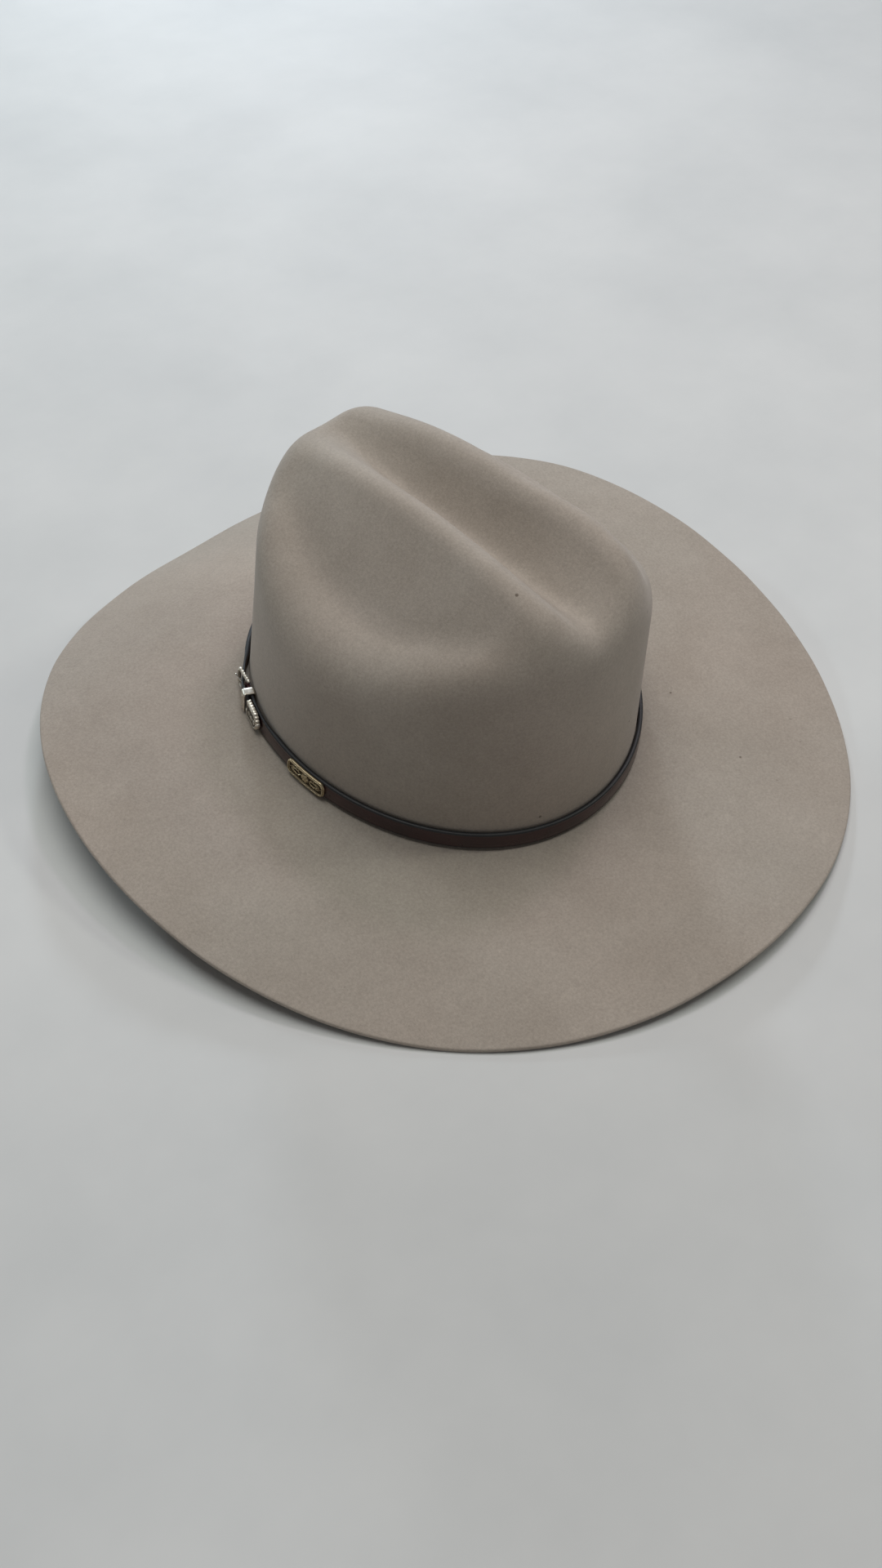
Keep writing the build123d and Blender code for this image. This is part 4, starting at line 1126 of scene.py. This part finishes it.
def ornament(pile, place, face, length, height, across=False):
    """A six-petal rosette with a scroll on each side, in low relief; face(x, z) is the surface's y."""
    r0 = height * 0.62
    for i in range(6):
        a = i * math.pi / 3 + math.pi / 6
        x, z = r0 * 0.62 * math.cos(a), r0 * 0.62 * math.sin(a)
        if not across:
            x, z = z, x
        pile.ball((x, face(x, z) + 0.02, z), r0 * 0.36, place, (1, 0.7, 1), 10)
    pile.ball((0, face(0, 0) - 0.03, 0), r0 * 0.30, place, (1, 0.95, 1), 10)
    for side in (-1, 1):
        for flip in (-1, 1):
            p = scroll(side, flip, length, height * 0.9)
            keep = np.abs(p[:, 0]) > r0 * 0.9
            p = p[keep]
            if not across:
                p = p[:, ::-1]
            q = np.linspace(0, 1, len(p))
            pts = np.stack([p[:, 0], [face(a, b) + 0.03 for a, b in p], p[:, 1]], -1)
            pile.tube(pts, (0.10 + 0.11 * np.sin(q * math.pi) ** 0.7) * min(1.0, height / 1.3 + 0.25), place, 8)


def make_tip():
    loc = Local(th_at((23.2 + 37.0) / 2), 0.0)
    x0, x1 = -6.9, 6.9
    out = [(x0, z) for z in np.linspace(4.6, -4.6, 60)[:-1]]
    out += [(x, -4.6) for x in np.linspace(x0, x1 - 4.2, 60)[:-1]]
    half = []
    for q in np.linspace(0, 1, 46):
        half.append((x1 - 4.2 * (1 - q) ** 1.15, 4.6 * (1 - q ** 1.7)))
    out += [(x, -z) for x, z in half][:-1]
    out += [(x, z) for x, z in half[::-1]][:-1]
    out += [(x, 4.6) for x in np.linspace(x1 - 4.2, x0, 60)[:-1]]
    out = every(out, 0.14, True)
    m = len(out)
    c = np.array([0.0, 0.0])
    T = np.roll(out, -1, 0) - np.roll(out, 1, 0)
    T /= np.linalg.norm(T, axis=1, keepdims=True)
    N = np.stack([-T[:, 1], T[:, 0]], -1)
    if np.mean(np.sum(N * (out - c), 1)) < 0:
        N = -N
    for _ in range(6):
        N = (np.roll(N, 1, 0) + N + np.roll(N, -1, 0)) / 3
    N /= np.linalg.norm(N, axis=1, keepdims=True)
    L = np.arange(m) * 0.14
    lobe = np.abs(np.sin(L * math.pi / 1.9)) ** 0.8
    lobe = lobe * (out[:, 0] > x0 + 0.05) * 1.0

    def ring(inset, n, sc):
        p = out - N * (inset - 0.50 * sc * lobe)[:, None] if np.ndim(inset) else out - N * (inset - 0.50 * sc * lobe)[:, None]
        return loc(np.stack([p[:, 0], np.full(m, -n), p[:, 1]], -1))

    def inner(scale, n):
        p = (out - N * 1.35) * scale + np.array([0.25, 0]) * (1 - scale)
        return loc(np.stack([p[:, 0], np.full(m, -n), p[:, 1]], -1))
    pile = Pile()
    rings = [inner(0.3, 3.38), inner(0.9, 3.38), ring(0.35, 3.36, 0.6), ring(0.05, 3.5, 1), ring(0.0, 3.8, 1), ring(0.0, 5.05, 1), ring(0.08, 5.35, 1),
             ring(0.32, 5.62, 0.85), ring(0.62, 5.72, 0.4), ring(0.95, 5.62, 0.1), ring(1.15, 5.46, 0), ring(1.35, 5.44, 0)]
    rings += [inner(0.93, 5.60), inner(0.86, 5.70), inner(0.7, 5.80), inner(0.4, 5.88)]
    pile.rings(rings, loc(np.array([0.25, -3.38, 0.0])), loc(np.array([0.25, -5.9, 0.0])))
    for i in list(range(9 * m, (len(rings) - 1) * m)) + list(range(len(rings) * m, (len(rings) + 1) * m)):
        pile.mat[i] = 1
    edge_line = out - N * 0.62
    for x, z in every(edge_line, 0.98, True):
        if x > x0 + 0.7:
            pile.ball((x, -5.70, z), 0.30, loc, (1, 0.85, 1), 10)
    ornament(pile, lambda P: loc(np.asarray(P) + np.array([0.6, 0, 0])), lambda x, z: -5.82 + 0.012 * (x * x * 0.3 + z * z), 4.3, 2.2, True)
    ob = pile.make("strap_tip_cast", [metal_material("tip_silver", (0.88, 0.83, 0.74), (0.66, 0.60, 0.51), 0.30, (0.035, 0.03, 0.025)),
                                      metal_material("tip_ground", (0.17, 0.155, 0.13), (0.08, 0.072, 0.06), 0.45, (0.02, 0.018, 0.015))])
    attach(ob, "hatband")
    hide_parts("strap_tip")
    return ob


# ------------------------------------------------------------------ badge
def make_badge():
    th = math.radians(93.5)
    R = curve_radius(th)
    n = 2.85
    loc = Local(th, n)
    Rf = R + n + 1.55

    def bent(P):
        """Plate coordinates (along, -out from the plate's back, up) to the frame, wrapped on the band."""
        P = np.asarray(P, float)
        a = P[..., 0] / Rf
        r = R + n + 0.05 - P[..., 1]
        return loc(np.stack([r * np.sin(a), R + n - r * np.cos(a), P[..., 2]], -1))
    m = 420
    t = np.arange(m) / m

    def ring(inset, h):
        p = rrect(t, 12.5 - inset, 4.5 - inset, max(3.2 - inset, 0.3))
        return bent(np.stack([p[:, 0], np.full(m, -h), p[:, 1]], -1))
    pile = Pile()
    flat = lambda f, h: bent(np.stack([rrect(t, 11.0, 3.0, 1.7)[:, 0] * (0.8 + 0.2 * f), np.full(m, -h), rrect(t, 11.0, 3.0, 1.7)[:, 1] * f], -1))
    rings = [flat(0.02, 0.0), flat(0.6, 0.0), ring(0.3, 0.0), ring(0.08, 0.1), ring(0.0, 0.3), ring(0.0, 0.95), ring(0.12, 1.15), ring(0.3, 1.2),
             ring(1.15, 1.1), ring(1.25, 0.88), ring(1.5, 0.84), flat(0.95, 0.84), flat(0.5, 0.92), flat(0.02, 0.95)]
    pile.rings(rings, cap=True)
    for i in range(9 * m, (len(rings) - 1) * m):
        pile.mat[i] = 1
    for i in range(len(rings) * m, (len(rings) + 1) * m):
        pile.mat[i] = 1
    # rope border
    p = rrect(np.arange(900) / 900, 12.5 - 0.72, 4.5 - 0.72, 2.5)
    L = np.concatenate([[0], np.cumsum(np.linalg.norm(np.diff(p, axis=0), axis=1))])
    lay = round((L[-1]) / 0.95)
    for strand in (0, math.pi):
        ph = L / L[-1] * 2 * math.pi * lay / 2 + strand
        T = np.roll(p, -1, 0) - np.roll(p, 1, 0)
        T /= np.linalg.norm(T, axis=1, keepdims=True)
        N = np.stack([T[:, 1], -T[:, 0]], -1)
        q = p + N * (0.22 * np.cos(ph))[:, None]
        C = np.stack([q[:, 0], -(1.30 + 0.22 * np.sin(ph)), q[:, 1]], -1)
        Tn = np.roll(C, -1, 0) - np.roll(C, 1, 0)
        Tn /= np.linalg.norm(Tn, axis=1, keepdims=True)
        D1 = np.cross(Tn, np.array([0.0, 1.0, 0.0]))
        D1 /= np.linalg.norm(D1, axis=1, keepdims=True)
        D2 = np.cross(Tn, D1)
        pile.closed_tube(C, D1, D2, 0.25, 7, None, bent)
    # flower in the middle
    f = lambda x, z: -0.95
    for i in range(6):
        a = i * math.pi / 3
        for rr, size in ((1.35, 0.86), (1.9, 0.62)):
            x, z = rr * math.cos(a), rr * math.sin(a)
            pile.ball((x, -0.98, z), size, bent, (1, 0.62, 1), 12)
    for i in range(6):
        a = i * math.pi / 3 + math.pi / 6
        pile.ball((2.35 * math.cos(a), -0.95, 2.35 * math.sin(a)), 0.28, bent, (1, 0.9, 1), 8)
    pile.ball((0, -1.15, 0), 0.62, bent, (1, 0.85, 1), 12)
    # leaf scrolls on each side
    for side in (-1, 1):
        for flip in (-1, 1):
            q = np.linspace(0, 1, 60)
            x = side * (2.9 + 5.6 * q)
            z = flip * (1.25 * np.sin(q * math.pi) + 0.1)
            pile.tube(np.stack([x, np.full(60, -1.0), z], -1), 0.15 + 0.22 * np.sin(q * math.pi) ** 0.8, bent, 9)
            q = np.linspace(0, 1, 50)
            a = math.pi * 0.9 - 2.4 * math.pi * q
            r = 1.15 * (1 - 0.78 * q)
            x = side * (8.6 + r * np.cos(a) * 1.0)
            z = flip * (0.55 + 0.9 * r * np.sin(a) * 0.9)
            pile.tube(np.stack([x, np.full(50, -1.02), z], -1), 0.24 - 0.10 * q, bent, 8)
            for j, (lx, lz, ang) in enumerate(((4.3, 2.05, 55), (6.0, 2.25, 65), (7.5, 1.9, 40))):
                q = np.linspace(0, 1, 12)
                f2 = math.radians(ang)
                x = side * (lx + 0.95 * (q - 0.5) * math.cos(f2))
                z = flip * (lz - 0.3 + 0.95 * (q - 0.5) * math.sin(f2))
                pile.tube(np.stack([x, np.full(12, -1.0), z], -1), 0.10 + 0.20 * np.sin(q * math.pi), bent, 8)
        for k in range(3):
            pile.ball((side * (10.25 + 0.28 * k), -0.98, 0.0), 0.30 - 0.06 * k, bent, (1, 0.9, 1), 8)
    ob = pile.make("badge_cast", [metal_material("antique_gold", (0.78, 0.66, 0.45), (0.56, 0.45, 0.28), 0.30, (0.022, 0.016, 0.010)),
                                  metal_material("badge_ground", (0.10, 0.078, 0.05), (0.045, 0.034, 0.022), 0.46, (0.012, 0.009, 0.006))])
    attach(ob, "hatband")
    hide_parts("badge_plaque")
    return ob


# ------------------------------------------------------------------ camera
def make_camera():
    f, pitch, az, D, tx, ty, roll = 2152.7404, 49.8004, 132.1367, 878.9834, -1.7081, -115.6078, 5.4747
    e, a, r = math.radians(pitch), math.radians(az), math.radians(roll)
    back = np.array([math.sin(a) * math.cos(e), -math.cos(a) * math.cos(e), math.sin(e)])
    right = np.array([math.cos(a), math.sin(a), 0.0])
    up = np.cross(back, right)
    R = right * math.cos(r) + up * math.sin(r)
    U = -right * math.sin(r) + up * math.cos(r)
    C = -(tx / f * D) * R + (ty / f * D) * U + D * back
    R, U, B = rowdir(R), rowdir(U), rowdir(back)
    m = Matrix(((R[0], U[0], B[0], 0), (R[1], U[1], B[1], 0), (R[2], U[2], B[2], 0), (0, 0, 0, 1)))
    cam = bpy.data.cameras.new("camera")
    cam.sensor_width, cam.sensor_height, cam.lens = 36.0, 36.0, f * 36.0 / 1920.0
    cam.clip_start, cam.clip_end = 0.01, 30.0
    ob = bpy.data.objects.new("camera", cam)
    bpy.context.scene.collection.objects.link(ob)
    m.translation = Vector(row(C))
    ob.matrix_world = m
    bpy.context.scene.camera = ob
    return ob, R, U, B


def area_light(name, where, size, energy, colour, target=(0.0, 0.0, 0.06)):
    L = bpy.data.lights.new(name, "AREA")
    L.shape, L.size, L.energy, L.color = "DISK", size, energy, colour
    ob = bpy.data.objects.new(name, L)
    bpy.context.scene.collection.objects.link(ob)
    ob.location = where
    ob.rotation_mode = "QUATERNION"
    ob.rotation_quaternion = (Vector(target) - Vector(where)).to_track_quat("-Z", "Y")
    return ob


def make_stage():
    s = 4.0
    floor = mesh_object("floor", [(-s, -s, 0), (s, -s, 0), (s, s, 0), (-s, s, 0)], [(0, 1, 2, 3)], True)
    m = Mat("pale_floor")
    m.set(Specular_IOR_Level=0.3)
    m.to("Base Color", m.ramp(m.noise(0.16, 5, 0.6), [(0.3, (0.62, 0.625, 0.62)), (0.7, (0.70, 0.70, 0.69))]))
    m.to("Roughness", m.math("ADD", m.math("MULTIPLY", m.noise(0.05, 3), 0.12), 0.62))
    floor.data.materials.append(m.m)
    w = bpy.data.worlds.new("studio")
    bpy.context.scene.world = w
    w.use_nodes = True
    w.node_tree.nodes["Background"].inputs[0].default_value = (1.0, 1.0, 1.0, 1.0)
    w.node_tree.nodes["Background"].inputs[1].default_value = 0.125
    return floor


def build():
    felt = make_felt()
    make_sweatband()
    make_stitches()
    make_reed_tape()
    make_splice()
    make_bow()
    make_liner()
    make_strap()
    make_buckle()
    make_tongue()
    make_keeper()
    make_tip()
    make_badge()
    N = frame["nodes"]
    for name, mat, slot in (
            ("sweatband_reed", plastic_material("reed_plastic", (0.60, 0.57, 0.50), (0.68, 0.65, 0.58), 0.34), "reed_plastic"),
            ("buckle_chape", leather_material("chape_leather", (0.030, 0.0085, 0.0105), (0.066, 0.0185, 0.019), 0.32, 0.0006, 0.00004, 0.3), "band_leather"),
            ("buckle_bar", metal_material("bar_silver", (0.84, 0.80, 0.72), (0.68, 0.63, 0.55), 0.24), "silver_metal"),
            ("strap_tip_rivet", metal_material("rivet_silver", (0.84, 0.80, 0.72), (0.68, 0.63, 0.55), 0.24), "silver_metal"),
            ("badge_prongs", metal_material("prong_brass", (0.70, 0.58, 0.36), (0.52, 0.41, 0.24), 0.34), "aged_brass")):
        o = N[name]
        o.data.materials.clear()
        o.data.materials.append(mat)
    return felt


build()
make_stage()
make_camera()
area_light("ceiling", (-0.1, -0.1, 2.3), 1.8, 25.0, (0.985, 1.0, 0.965))
area_light("low_left", (0.258, -1.461, 0.599), 0.22, 3.3, (0.80, 0.95, 1.0))
area_light("low_far", (-0.851, -1.215, 0.599), 0.22, 6.3, (0.80, 0.90, 1.0))
area_light("far_right", (-0.927, 0.649, 1.131), 0.22, 2.5, (0.96, 1.0, 0.92))
area_light("far", (-0.691, -0.122, 1.438), 0.22, 2.6, (1.0, 0.86, 1.0))
bpy.context.scene.view_settings.view_transform = "Standard"
bpy.context.view_layer.update()
